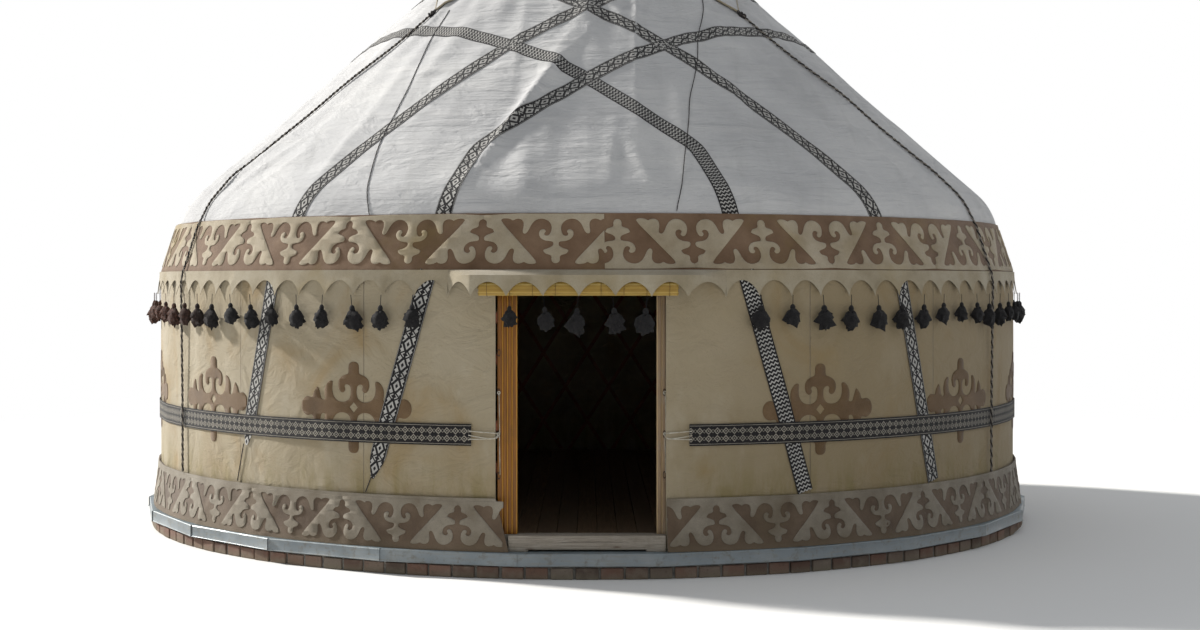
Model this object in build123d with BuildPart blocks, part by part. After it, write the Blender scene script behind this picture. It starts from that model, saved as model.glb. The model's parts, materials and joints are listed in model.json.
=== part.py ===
import os
from math import asin, atan, cos, degrees, radians, sin, sqrt, tan

from build123d import *

# A Kyrgyz felt yurt on a low brick plinth: a wall of crossing laths, roof poles that spring
# from the lath heads to a crown ring, felts over both, and the woven bands that tie them.
# Millimetres, +Z up, origin on the ground at the middle of the plinth, doorway towards -Y.

# Grid of the frame: one roof pole, one lath head and one flat panel of cover per pitch
pole_count = 48
cover_count = 6
front = -90.0
clearance = 0.3

# Plinth, sheet-metal edging and floor
plinth_margin = 70.0
brick_height = 65.0
brick_courses = 2
bed_joint = 5.0
edging_sides = 24
edging_gap = 2.0
edging_thickness = 2.0
edging_drop = 70.0
edging_flange = 110.0
floor_thickness = 18.0
floor_margin = 30.0

# Wall
wall_radius = 2960.0
felt_thickness = 15.0
layer_gap = 1.0
lath_width = 30.0
lath_thickness = 14.0
lath_pitch_rows = 600.0
lath_foot = 25.0
head_height = 1610.0
fork_length = 60.0

# Door frame
door_width = 770.0
post_width = 110.0
frame_depth = 60.0
post_grooves = 3
groove_width = 8.0
groove_depth = 6.0
groove_spacing = 26.0
threshold_height = 90.0
sill_depth = 58.0
undercut_height = 12.0
undercut_width = 650.0
lintel_height = 62.0
felt_edge_left = 506.0
felt_edge_right = 436.0

# Roof
roof_slope = 42.0
eave_lean = 72.0
eave_lap = 5.0
shoulder_rise = 300.80403
shoulder_bend = 400.0
eave_height = 1690.0
pole_thickness = 34.0
pole_foot = 90.0

# Crown
crown_radius = 650.0
crown_width = 80.0
crown_height = 100.0
slat_width = 32.0
slat_thickness = 14.0
slat_spacing = 130.0
slat_rise = 150.0
slat_seat = 30.0
cover_half = 1000.0
cover_thickness = 10.0
crown_rim = 60.0
dome_gap = 14.0

# Ornamented bands and skirt
frieze_height = 315.0
frieze_thickness = 8.0
valance_drop = 145.0
valance_thickness = 4.0
arches_per_panel = 2
arch_width = 110.0
arch_height = 92.0
arch_crown = 66.0
door_panels = 2
door_arches = 6
tassel_length = 130.0
tassel_width = 90.0
tassel_depth = 26.0
string_width = 8.0
string_length = 55.0
skirt_height = 292.0
skirt_flare = 50.0
skirt_thickness = 8.0
waist_height = 780.0
waist_width = 120.0
waist_end_left = 640.0
waist_end_right = 565.0
skirt_foot_left = 420.0
strap_thickness = 3.0
roof_strap_width = 85.0
strap_foot = 445.0
knot_height = 2400.0
strap_turns = [
    (38.0, 33.0, 17.5, 3060.0, -52.0, 1140.0, 44.0),
    (17.3, 14.5, -6.5, 2980.0, -55.0, 1550.0, 24.5),
]
slab_reach = 900.0

# Rolled reed mat over the doorway
mat_radius = 50.0
mat_length = 1110.0
mat_shift = -48.0
mat_side_gap = 12.0

# Ropes
rope_width = 16.0
rope_azimuth = 58.125

# Places that follow from the sizes above
plinth_radius = wall_radius + plinth_margin
apex_height = eave_height + wall_radius * tan(radians(roof_slope)) + shoulder_rise
pitch = 360 / pole_count
half_pitch = pitch / 2
panels_per_cover = pole_count // cover_count
plinth_height = brick_courses * (brick_height + bed_joint)
edging_top = plinth_height + edging_thickness
lath_outer = wall_radius - felt_thickness - layer_gap
lath_run = 2 * (lath_outer - lath_thickness) * tan(radians(half_pitch))
lath_angle = degrees(atan(lath_pitch_rows / lath_run))
lath_inner = lath_outer - 2 * lath_thickness
pole_radius = lath_inner - clearance - pole_thickness / 2
post_centre = (door_width + post_width) / 2
frame_width = door_width + 2 * post_width
frame_front = sqrt(lath_outer**2 - (frame_width / 2) ** 2) - layer_gap
frame_back = frame_front - frame_depth
threshold_top = edging_top + threshold_height
lintel_top = eave_height - clearance
lintel_bottom = lintel_top - lintel_height
eave_radius = wall_radius - eave_lap
corner = 1 / cos(radians(half_pitch))
reach = 1.5 * wall_radius


def azimuth_plane(angle):
    """The upright plane through the axis at an azimuth: local x runs outwards, y up."""
    x_dir = (cos(radians(angle)), sin(radians(angle)), 0)
    z_dir = (sin(radians(angle)), -cos(radians(angle)), 0)
    return Plane(origin=(0, 0, 0), x_dir=x_dir, z_dir=z_dir)


def panel_wedge():
    """Everything between the radial planes at the edges of the panel that faces +X."""
    edge = reach * tan(radians(half_pitch))
    with BuildPart() as wedge:
        with BuildSketch(Plane.XY):
            with BuildLine():
                Polyline((0, 0), (reach, -edge), (reach, edge), close=True)
            make_face()
        extrude(amount=apex_height + reach)
    return wedge.part


def flat_panel(outline):
    """One flat panel of a ring: its (radius, height) outline, cut off at the radial planes."""
    with BuildPart() as panel:
        with BuildSketch(Plane.XZ):
            with BuildLine():
                Polyline(*outline, close=True)
            make_face()
        extrude(amount=reach, both=True)
        add(panel_wedge(), mode=Mode.INTERSECT)
    return panel.part


def panel_ring(panel, first, count):
    """Panels side by side, counted from the doorway's middle towards +X."""
    with BuildPart() as ring:
        start = front + (first + 0.5) * pitch
        with PolarLocations(0, count, start_angle=start, angular_range=count * pitch):
            add(panel)
    return ring.part


def roof_line(depth):
    """The roof's section line at a depth under its outer face: eave, shoulder, crown."""
    lean, slope = radians(eave_lean), radians(roof_slope)
    lean_shift = depth / sin(lean)
    eave = (eave_radius - lean_shift, eave_height)
    apex = apex_height - depth / cos(slope)
    corner_radius = (apex - eave_height - eave[0] * tan(lean)) / (tan(slope) - tan(lean))
    corner = (corner_radius, apex - corner_radius * tan(slope))
    top = (crown_radius, apex - crown_radius * tan(slope))
    return eave, corner, top


def roof_chain(depth):
    """The same line with the shoulder's bend as one chord."""
    eave, corner, top = roof_line(depth)
    lean, slope = radians(eave_lean), radians(roof_slope)
    run = (shoulder_bend - depth) * tan((lean - slope) / 2)
    start = (corner[0] + run * cos(lean), corner[1] - run * sin(lean))
    end = (corner[0] - run * cos(slope), corner[1] + run * sin(slope))
    return [eave, start, end, top]


def spread(count, spacing):
    """Places of a row of like things, evenly spaced about zero."""
    return [(index - (count - 1) / 2) * spacing for index in range(count)]


def save(part, name):
    part.label = name
    export_step(part, f"parts/{name}.step")


os.makedirs("parts", exist_ok=True)

# Brick plinth: two courses round a filled middle, level on top
with BuildPart() as brick_plinth:
    with BuildSketch(Plane.XY):
        RegularPolygon(plinth_radius, pole_count)
    extrude(amount=plinth_height)
save(brick_plinth.part, "brick_plinth")

# Sheet-metal edging: an angle folded over the rim of the plinth, in straight lengths
with BuildPart() as metal_edging:
    with BuildSketch(Plane.XY.offset(plinth_height + edging_thickness)):
        RegularPolygon(plinth_radius + edging_gap + edging_thickness, edging_sides, major_radius=False)
        Circle(plinth_radius - edging_flange, mode=Mode.SUBTRACT)
    extrude(amount=-edging_thickness)
    with BuildSketch(Plane.XY.offset(edging_top)):
        RegularPolygon(plinth_radius + edging_gap + edging_thickness, edging_sides, major_radius=False)
        RegularPolygon(
            plinth_radius + edging_gap, edging_sides, major_radius=False, mode=Mode.SUBTRACT
        )
    extrude(amount=-edging_drop)
save(metal_edging.part, "metal_edging")

# Floor of boards on the plinth, inside the lattice and behind the door frame
with BuildPart() as floor_boards:
    with BuildSketch(Plane.XY.offset(plinth_height)):
        RegularPolygon(lath_inner - floor_margin, pole_count, major_radius=False)
        with Locations((0, -frame_back + layer_gap)):
            Rectangle(
                frame_width + 2 * layer_gap,
                frame_depth + floor_margin,
                align=(Align.CENTER, Align.MAX),
                mode=Mode.SUBTRACT,
            )
    extrude(amount=floor_thickness)
save(floor_boards.part, "floor_boards")

# Threshold: a beam under both posts with a deeper sill between the felts, hollowed below
with BuildPart() as threshold:
    with BuildSketch(Plane.XY.offset(edging_top)):
        with Locations((0, -frame_back)):
            Rectangle(frame_width, frame_depth, align=(Align.CENTER, Align.MAX))
        with Locations((0, -frame_front)):
            sill_width = 2 * (felt_edge_right - 2 * layer_gap)
            Rectangle(sill_width, sill_depth, align=(Align.CENTER, Align.MAX))
    extrude(amount=threshold_height)
    with BuildSketch(Plane.XZ.offset(frame_front + sill_depth)):
        with Locations((0, edging_top)):
            Rectangle(undercut_width, undercut_height, align=(Align.CENTER, Align.MIN))
    extrude(amount=-sill_depth, mode=Mode.SUBTRACT)
save(threshold.part, "threshold")

# Door posts and lintel
frame_middle = -(frame_front + frame_back) / 2
for side, name in ((-1, "left_door_post"), (1, "right_door_post")):
    with BuildPart() as post:
        with BuildSketch(Plane.XY.offset(threshold_top)):
            with Locations((side * post_centre, frame_middle)):
                Rectangle(post_width, frame_depth)
        extrude(amount=lintel_bottom - threshold_top)
        with BuildSketch(Plane.XY.offset(threshold_top)):
            for place in spread(post_grooves, groove_spacing):
                with Locations((side * post_centre + place, -frame_front)):
                    Rectangle(groove_width, 2 * groove_depth)
        extrude(amount=lintel_bottom - threshold_top, mode=Mode.SUBTRACT)
    save(post.part, name)

with BuildPart() as door_lintel:
    with BuildSketch(Plane.XY.offset(lintel_bottom)):
        with Locations((0, frame_middle)):
            Rectangle(frame_width, frame_depth)
    extrude(amount=lintel_height)
save(door_lintel.part, "door_lintel")

# Wall lattice: crossing laths in two layers, bent at each upright line of crossings
lath_foot_height = plinth_height + lath_foot
lath_top_height = head_height + fork_length * sin(radians(lath_angle))
row_count = int(head_height // lath_pitch_rows) + 2


def lath_layer(outer, lean):
    """One layer of slanting laths on one flat panel."""
    plane = Plane(origin=(outer, 0, 0), x_dir=(0, 1, 0), z_dir=(1, 0, 0))
    with BuildPart() as layer:
        with BuildSketch(plane):
            for row in range(row_count):
                with Locations((0, head_height - (row - 0.5) * lath_pitch_rows)):
                    Rectangle(reach, lath_width, rotation=lean * lath_angle)
        extrude(amount=-lath_thickness)
        with BuildSketch(plane):
            with Locations((0, (lath_foot_height + lath_top_height) / 2)):
                Rectangle(reach, lath_top_height - lath_foot_height)
        extrude(amount=-lath_thickness, mode=Mode.INTERSECT)
        add(panel_wedge(), mode=Mode.INTERSECT)
    return layer.part


with BuildPart() as lath_panel:
    add(lath_layer(lath_outer, 1))
    add(lath_layer(lath_outer - lath_thickness, -1))

lattice_section = panel_ring(lath_panel.part, 0, panels_per_cover)
for section in range(cover_count):
    with BuildPart() as lattice:
        with PolarLocations(0, 1, start_angle=section * 360 / cover_count):
            add(lattice_section)
        if section in (0, cover_count - 1):
            with BuildSketch(Plane.XY):
                with Locations((0, -lath_outer)):
                    Rectangle(frame_width + 2 * clearance, lath_outer / 2)
            extrude(amount=eave_height, mode=Mode.SUBTRACT)
    save(lattice.part, f"wall_lattice_{section + 1}")

# Roof poles: foot inside the lath heads, bent knee, straight run to the crown ring
pole_depth = felt_thickness + layer_gap + pole_thickness / 2
foot_in_lattice = head_height - pole_foot
door_half_angle = degrees(asin(frame_width / 2 / wall_radius))


def roof_pole(foot_radius, foot_height, knee):
    """One pole in the plane through +X, square in section, with a level foot."""
    chain = roof_chain(pole_depth)
    below = (foot_radius, foot_height - pole_thickness)
    with BuildPart() as pole:
        with BuildLine(Plane.XZ) as route:
            Polyline(below, *knee, *chain[1:])
        with BuildSketch(Plane(origin=route.line @ 0, z_dir=route.line % 0)):
            Rectangle(pole_thickness, pole_thickness)
        sweep(path=route.line, transition=Transition.RIGHT)
        split(bisect_by=Plane.XY.offset(foot_height), keep=Keep.TOP)
        split(bisect_by=Plane.YZ.offset(crown_radius + clearance), keep=Keep.TOP)
    return pole.part


wall_pole = roof_pole(pole_radius, foot_in_lattice, [(pole_radius, lath_top_height)])
for half, name in ((0, "roof_poles_right"), (1, "roof_poles_left")):
    with BuildPart() as poles:
        for index in range(pole_count // 2):
            number = index + half * pole_count // 2
            turns = min(number, pole_count - number) * pitch
            pole = wall_pole
            if turns < door_half_angle:
                pole = roof_pole(-frame_middle / cos(radians(turns)), lintel_top + clearance, [])
            with PolarLocations(0, 1, start_angle=front + number * pitch):
                add(pole)
    save(poles.part, name)

# Crown: a bent ring and two sets of three bowed slats that cross over it
crown_bottom = roof_line(pole_depth)[2][1] - crown_height / 2
crown_top = crown_bottom + crown_height
with BuildPart() as crown_ring:
    with BuildSketch(Plane.XY.offset(crown_bottom)):
        Circle(crown_radius)
        Circle(crown_radius - crown_width, mode=Mode.SUBTRACT)
    extrude(amount=crown_height)
save(crown_ring.part, "crown_ring")

slat_span = crown_radius - slat_seat


def slat_outline(place):
    """Side view of a bowed slat that crosses the ring at a distance from its middle."""
    across = sqrt(slat_span**2 - place**2)
    inner = [step * slat_spacing for step in (-2, -1, 0, 1, 2)]
    low = [
        (x, crown_top + slat_rise * (1 - (x**2 + place**2) / slat_span**2))
        for x in [-across, *inner, across]
    ]
    return low + [(x, height + slat_thickness) for x, height in low[::-1]]


with BuildPart() as crown_slats:
    for turn in (0, 90):
        for place in (-slat_spacing, 0, slat_spacing):
            with BuildSketch(azimuth_plane(turn).offset(place)):
                with BuildLine():
                    Polyline(*slat_outline(place), close=True)
                make_face()
            extrude(amount=slat_width / 2, both=True)
save(crown_slats.part, "crown_slats")

# Wall felts and roof felts, in six lengths each, meeting face to face
wall_inner = wall_radius - felt_thickness
wall_panel = flat_panel(
    [
        (wall_radius, edging_top),
        (wall_radius, eave_height),
        (wall_inner, eave_height),
        (wall_inner, edging_top),
    ]
)
roof_panel = flat_panel(roof_chain(0) + roof_chain(felt_thickness)[::-1])
wall_length = panel_ring(wall_panel, 0, panels_per_cover)
roof_length = panel_ring(roof_panel, 0, panels_per_cover)
places = ["front_right", "right", "back_right", "back_left", "left", "front_left"]
for section, place in enumerate(places):
    turn = section * 360 / cover_count
    with BuildPart() as wall_felt:
        with PolarLocations(0, 1, start_angle=turn):
            add(wall_length)
        if section in (0, cover_count - 1):
            with BuildSketch(Plane.XY):
                with Locations(((felt_edge_right - felt_edge_left) / 2, -wall_radius)):
                    Rectangle(felt_edge_left + felt_edge_right, wall_radius / 2)
            extrude(amount=eave_height, mode=Mode.SUBTRACT)
    save(wall_felt.part, f"wall_felt_{place}")
    with BuildPart() as roof_felt:
        with PolarLocations(0, 1, start_angle=turn):
            add(roof_length)
    save(roof_felt.part, f"roof_felt_{place}")

# Woven straps: each runs from the wall over the roof, past the crown and down the other side
roof_skin = flat_panel(
    roof_chain(-clearance - strap_thickness) + roof_chain(-clearance)[::-1]
)
roof_skin = panel_ring(roof_skin, 0, pole_count)
wall_skin_inner = wall_radius + clearance
wall_skin_outer = wall_skin_inner + strap_thickness
wall_skin = flat_panel(
    [
        (wall_skin_inner, strap_foot),
        (wall_skin_outer, strap_foot),
        (wall_skin_outer, eave_height - clearance),
        (wall_skin_inner, eave_height - clearance),
    ]
)
wall_skin = panel_ring(wall_skin, 0, pole_count)


def surface_point(azimuth, height):
    """The point of the cover's outer face at an azimuth from the doorway and a height."""
    eave, corner, _ = roof_line(0)
    if height <= eave_height:
        radius = wall_radius
    elif height <= corner[1]:
        radius = eave[0] - (height - eave_height) / tan(radians(eave_lean))
    else:
        radius = (apex_height - height) / tan(radians(roof_slope))
    turn = radians(front + azimuth)
    return Vector(radius * cos(turn), radius * sin(turn), height)


def strap_slab(begin, end, tilt, width):
    """A slab as thick as a strap is wide, upright on the cover between two of its points."""
    along = end - begin
    middle = (begin + end) / 2
    outward = Vector(middle.X, middle.Y, 0).normalized() * sin(radians(tilt))
    outward += Vector(0, 0, cos(radians(tilt)))
    side = along.cross(outward)
    with BuildPart() as slab:
        with BuildSketch(Plane(origin=middle, x_dir=along, z_dir=side)):
            Rectangle(along.length, 2 * slab_reach)
        extrude(amount=width / 2, both=True)
    return slab.part


def mirrored(azimuth, middle):
    return 2 * middle - azimuth


roof_slabs = []
wall_slabs = []
for side in (-1, 1):
    for eave_turn, knot_turn, mid_turn, mid_height, crown_turn, crown_pass, foot_turn in strap_turns:
        crown_height_here = apex_height - crown_pass * tan(radians(roof_slope))
        climb = [(eave_turn, eave_height), (knot_turn, knot_height), (mid_turn, mid_height)]
        back = [(mirrored(turn, crown_turn), height) for turn, height in climb]
        route = climb + [(crown_turn, crown_height_here)] + back[::-1]
        points = [surface_point(side * turn, height) for turn, height in route]
        for begin, end in zip(points, points[1:]):
            roof_slabs.append(strap_slab(begin, end, roof_slope, roof_strap_width))
        for top_turn, low_turn in (
            (eave_turn, foot_turn),
            (mirrored(eave_turn, crown_turn), mirrored(foot_turn, crown_turn)),
        ):
            begin = surface_point(side * top_turn, eave_height)
            end = surface_point(side * low_turn, strap_foot)
            wall_slabs.append(strap_slab(begin, end, 90, roof_strap_width))

with BuildPart() as roof_straps:
    add(roof_slabs)
    add(roof_skin, mode=Mode.INTERSECT)
save(roof_straps.part, "roof_straps")

with BuildPart() as wall_straps:
    add(wall_slabs)
    add(wall_skin, mode=Mode.INTERSECT)
save(wall_straps.part, "wall_straps")

# Ornamented frieze round the eave, in two lengths that meet over the doorway
frieze_inner = -strap_thickness - 2 * clearance
frieze_outer = frieze_inner - frieze_thickness


def on_lean(depth, height):
    """Radius of the leaning eave face at a depth and a height."""
    return roof_line(depth)[0][0] - (height - eave_height) / tan(radians(eave_lean))


frieze_top = eave_height + frieze_height
frieze_panel = flat_panel(
    [
        (on_lean(frieze_inner, eave_height), eave_height),
        (on_lean(frieze_outer, eave_height), eave_height),
        (on_lean(frieze_outer, frieze_top), frieze_top),
        (on_lean(frieze_inner, frieze_top), frieze_top),
    ]
)
half_count = pole_count // 2
for half, name in ((0, "frieze_right"), (1, "frieze_left")):
    save(panel_ring(frieze_panel, half * half_count, half_count), name)

# Valance: a cloth edge cut into arches under the frieze, carried out over the rolled mat
valance_inner = wall_skin_outer + clearance
valance_top = eave_height - clearance
valance_bottom = eave_height - valance_drop
door_azimuth = door_panels * pitch
felt_turn = radians(1.5 * pitch)
mat_back = (wall_radius - felt_edge_right * sin(felt_turn)) / cos(felt_turn) + clearance
mat_front = mat_back + 2 * mat_radius
apron_front = mat_front + layer_gap
apron_turn = radians(door_azimuth) - 2 * valance_thickness / valance_inner
apron_radius = valance_inner * corner
apron_ends = [
    (side * apron_radius * sin(apron_turn), -apron_radius * cos(apron_turn)) for side in (-1, 1)
]
apron_corners = [
    (mat_shift + side * (mat_length / 2 + mat_side_gap), -apron_front) for side in (-1, 1)
]


def arch_cutter(plane, centres):
    """Cuts for a row of arches in the lower edge of the valance."""
    half = arch_width / 2
    with BuildPart() as cutter:
        with BuildSketch(plane):
            for centre in centres:
                with BuildLine():
                    high = valance_bottom + arch_height
                    Polyline(
                        (centre - half, valance_bottom),
                        (centre - arch_crown / 2, high),
                        (centre + arch_crown / 2, high),
                        (centre + half, valance_bottom),
                        close=True,
                    )
                make_face()
        extrude(amount=mat_radius, both=True)
    return cutter.part


panel_width = 2 * valance_inner * tan(radians(half_pitch))
arch_pitch = panel_width / arches_per_panel
with BuildPart() as hanging_panel:
    add(
        flat_panel(
            [
                (valance_inner, valance_bottom),
                (valance_inner + valance_thickness, valance_bottom),
                (valance_inner + valance_thickness, valance_top),
                (valance_inner, valance_top),
            ]
        )
    )
    add(
        arch_cutter(Plane.YZ.offset(valance_inner), spread(arches_per_panel, arch_pitch)),
        mode=Mode.SUBTRACT,
    )
hanging_count = half_count - door_panels
for first, name in ((door_panels, "valance_right"), (half_count, "valance_left")):
    save(panel_ring(hanging_panel.part, first, hanging_count), name)

with BuildPart() as door_valance:
    with BuildSketch(Plane.XY.offset(valance_bottom)):
        with BuildLine():
            outside = Polyline(apron_ends[0], *apron_corners, apron_ends[1])
            offset(outside, amount=valance_thickness, side=Side.RIGHT, closed=True)
        make_face()
    extrude(amount=valance_top - valance_bottom)
    with BuildSketch(Plane.XY.offset(valance_top - valance_thickness)):
        with BuildLine():
            Polyline(apron_ends[0], *apron_corners, apron_ends[1], close=True)
        make_face()
        Circle(wall_radius * corner + clearance, mode=Mode.SUBTRACT)
    extrude(amount=valance_thickness)
    straight = apron_corners[1][0] - apron_corners[0][0]
    door_arch_pitch = straight / door_arches
    add(
        arch_cutter(
            Plane(origin=(mat_shift, -apron_front, 0), x_dir=(1, 0, 0), z_dir=(0, -1, 0)),
            spread(door_arches, door_arch_pitch),
        ),
        mode=Mode.SUBTRACT,
    )
save(door_valance.part, "door_valance")

# Tassels: a tuft of wool on strings that spread from each tip of the valance
def tassel(tip):
    """One tuft under a tip: the plane's x runs along the valance and its y outwards."""
    with BuildPart() as tuft:
        for drop, width, depth in (
            (0, string_width, valance_thickness),
            (string_length + tassel_length, tassel_width, tassel_depth),
        ):
            with BuildSketch(tip.offset(-drop)):
                Rectangle(width, depth, align=(Align.CENTER, Align.MIN))
        loft()
    return tuft.part


for first, name in ((door_panels, "tassels_right"), (half_count, "tassels_left")):
    with BuildPart() as tassels:
        for number in range(1, arches_per_panel * hanging_count):
            along = number / arches_per_panel
            radius = valance_inner / cos(radians((along % 1 - 0.5) * pitch))
            tip = Plane(origin=(radius, 0, valance_bottom), x_dir=(0, -1, 0), z_dir=(0, 0, 1))
            with PolarLocations(0, 1, start_angle=front + (first + along) * pitch):
                add(tassel(tip))
    save(tassels.part, name)

with BuildPart() as door_tassels:
    for place in spread(door_arches - 1, door_arch_pitch):
        spot = (mat_shift + place, -apron_front, valance_bottom)
        add(tassel(Plane(origin=spot, x_dir=(-1, 0, 0), z_dir=(0, 0, 1))))
save(door_tassels.part, "door_tassels")

# Ornamented skirt: two lengths that flare from the wall down to the edging
skirt_top = edging_top + skirt_height
skirt_panel = flat_panel(
    [
        (wall_skin_inner + skirt_flare, edging_top),
        (wall_skin_inner + skirt_flare + skirt_thickness, edging_top),
        (wall_skin_inner + skirt_thickness, skirt_top),
        (wall_skin_inner, skirt_top),
    ]
)
for half, name in ((0, "skirt_right"), (1, "skirt_left")):
    with BuildPart() as skirt:
        add(panel_ring(skirt_panel, half * half_count, half_count))
        with BuildSketch(Plane.XZ):
            with BuildLine():
                Polyline(
                    (-skirt_foot_left, edging_top),
                    (felt_edge_right, edging_top),
                    (felt_edge_right, skirt_top),
                    (-felt_edge_left, skirt_top),
                    close=True,
                )
            make_face()
        extrude(amount=plinth_radius, mode=Mode.SUBTRACT)
    save(skirt.part, name)

# Waist band: a woven girth over the straps, tied off to the door posts
waist_inner = wall_skin_outer + clearance
waist_panel = flat_panel(
    [
        (waist_inner, waist_height - waist_width / 2),
        (waist_inner + strap_thickness, waist_height - waist_width / 2),
        (waist_inner + strap_thickness, waist_height + waist_width / 2),
        (waist_inner, waist_height + waist_width / 2),
    ]
)
with BuildPart() as waist_band:
    add(panel_ring(waist_panel, 0, pole_count))
    with BuildSketch(Plane.XZ):
        with Locations(((waist_end_right - waist_end_left) / 2, waist_height)):
            Rectangle(waist_end_left + waist_end_right, 2 * waist_width)
    extrude(amount=plinth_radius, mode=Mode.SUBTRACT)
save(waist_band.part, "waist_band")

# Rolled reed mat, tied up in front of the lintel
with BuildPart() as reed_mat:
    with BuildSketch(Plane.YZ.offset(mat_shift - mat_length / 2)):
        with Locations((-mat_back - mat_radius, valance_bottom + mat_radius)):
            RegularPolygon(mat_radius, 16)
    extrude(amount=mat_length)
save(reed_mat.part, "reed_mat")

# Crown cover: a square felt drawn over the slats, its corners down on the roof
lap_depth = -strap_thickness - 2 * clearance
dome_low = crown_top + slat_thickness + dome_gap
dome_high = dome_low + slat_rise


def cover_chain(raised):
    """Section of the crown cover: dome, rim and the part that lies on the roof."""
    outer_radius = 1.5 * cover_half
    lap = apex_height + (raised - lap_depth) / cos(radians(roof_slope))
    slope = tan(radians(roof_slope))
    return [
        (0, dome_high + raised),
        (0.5 * crown_radius, dome_high - 0.25 * slat_rise + raised),
        (crown_radius, dome_low + raised),
        (crown_radius + crown_rim, lap - (crown_radius + crown_rim) * slope),
        (outer_radius, lap - outer_radius * slope),
    ]


with BuildPart() as crown_cover:
    add(panel_ring(flat_panel(cover_chain(cover_thickness) + cover_chain(0)[::-1]), 0, pole_count))
    with BuildSketch(Plane.XY.offset(eave_height)):
        Rectangle(2 * cover_half, 2 * cover_half)
    extrude(amount=apex_height, mode=Mode.INTERSECT)
save(crown_cover.part, "crown_cover")

# Ropes: from each corner of the crown cover over the roof and frieze, down to the skirt
rope_depth = frieze_outer - layer_gap - rope_width / 2
wall_rope_radius = valance_inner + valance_thickness + clearance + rope_width / 2
rope_start = (cover_half + rope_width) / cos(radians(45))
rope_offset = (rope_azimuth / pitch % 1 - 0.5) * pitch
panel_stretch = 1 / cos(radians(rope_offset))
rope_chain = roof_chain(rope_depth)
rope_line = [
    (rope_start, rope_chain[3][1] - (rope_start - crown_radius) * tan(radians(roof_slope))),
    *rope_chain[2::-1],
    (wall_rope_radius, valance_bottom),
    (wall_rope_radius, skirt_top + clearance),
]
with BuildPart() as rope:
    with BuildLine(Plane.XZ) as rope_route:
        Polyline([(radius * panel_stretch, height) for radius, height in rope_line])
    with BuildSketch(Plane(origin=rope_route.line @ 0, z_dir=rope_route.line % 0)):
        RegularPolygon(rope_width / 2, 6)
    sweep(path=rope_route.line, transition=Transition.RIGHT)
with BuildPart() as roof_ropes:
    for azimuth in (rope_azimuth, 180 - rope_azimuth, 180 + rope_azimuth, -rope_azimuth):
        with PolarLocations(0, 1, start_angle=front + azimuth):
            add(rope.part)
save(roof_ropes.part, "roof_ropes")
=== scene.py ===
import json
from itertools import cycle
from math import asin, cos, degrees, pi, radians, sin, sqrt, tan

import bpy
import numpy as np
from mathutils import Matrix, Vector

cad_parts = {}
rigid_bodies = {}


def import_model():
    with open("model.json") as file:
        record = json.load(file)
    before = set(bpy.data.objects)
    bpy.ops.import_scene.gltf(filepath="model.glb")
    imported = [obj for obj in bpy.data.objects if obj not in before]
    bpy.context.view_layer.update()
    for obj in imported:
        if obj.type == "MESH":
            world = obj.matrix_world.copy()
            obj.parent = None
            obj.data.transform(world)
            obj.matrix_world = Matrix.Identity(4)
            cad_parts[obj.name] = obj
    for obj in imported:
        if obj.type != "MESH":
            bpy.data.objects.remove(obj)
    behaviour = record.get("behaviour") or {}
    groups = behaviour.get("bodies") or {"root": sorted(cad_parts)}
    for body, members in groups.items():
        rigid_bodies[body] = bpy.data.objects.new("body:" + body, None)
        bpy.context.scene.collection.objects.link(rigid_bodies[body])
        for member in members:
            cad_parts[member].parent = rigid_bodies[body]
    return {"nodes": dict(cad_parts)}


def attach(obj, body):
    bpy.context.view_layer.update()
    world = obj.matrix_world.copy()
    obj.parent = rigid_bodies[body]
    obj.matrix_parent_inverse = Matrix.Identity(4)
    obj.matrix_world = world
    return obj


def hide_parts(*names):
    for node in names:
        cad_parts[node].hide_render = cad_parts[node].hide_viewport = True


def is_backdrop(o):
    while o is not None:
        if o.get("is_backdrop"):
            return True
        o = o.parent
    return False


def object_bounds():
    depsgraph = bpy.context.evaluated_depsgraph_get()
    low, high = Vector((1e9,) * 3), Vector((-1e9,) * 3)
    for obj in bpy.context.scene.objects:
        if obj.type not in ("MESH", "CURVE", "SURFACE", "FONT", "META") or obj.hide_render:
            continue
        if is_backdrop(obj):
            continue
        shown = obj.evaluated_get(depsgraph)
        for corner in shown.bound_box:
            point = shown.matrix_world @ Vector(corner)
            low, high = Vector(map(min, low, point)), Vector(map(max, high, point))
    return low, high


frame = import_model()
cad_low, cad_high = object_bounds()
scene = bpy.context.scene
scene.view_settings.view_transform = "Standard"
chance = np.random.default_rng(7)


# Studio. A pale floor that fades into a white background, an even sky and one soft sun from
# the left, as on a bright day. None of it is part of the yurt.
def add_node(tree, kind, sockets=None, **settings):
    """A shader node with its settings, and its sockets linked or set."""
    node = tree.nodes.new("ShaderNode" + kind)
    for key, value in settings.items():
        setattr(node, key, value)
    for key, value in (sockets or {}).items():
        if isinstance(value, bpy.types.NodeSocket):
            tree.links.new(value, node.inputs[key])
        else:
            node.inputs[key].default_value = value
    return node


def maths(tree, operation, first, second=0.0, clamp=False):
    return add_node(tree, "Math", {0: first, 1: second}, operation=operation, use_clamp=clamp).outputs[0]


def times(tree, first, second):
    return maths(tree, "MULTIPLY", first, second)


def made(step, **settings):
    """The new object that one of Blender's own operators adds."""
    bpy.ops.object.select_all(action="DESELECT")
    step(**settings)
    return bpy.context.object


def seen_directly(tree):
    """1 where the camera sees something directly, by reflection or through glass."""
    path = add_node(tree, "LightPath")
    mirror = maths(tree, "MAXIMUM", path.outputs["Is Glossy Ray"], path.outputs["Is Transmission Ray"])
    return maths(tree, "MAXIMUM", path.outputs["Is Camera Ray"], mirror)


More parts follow.
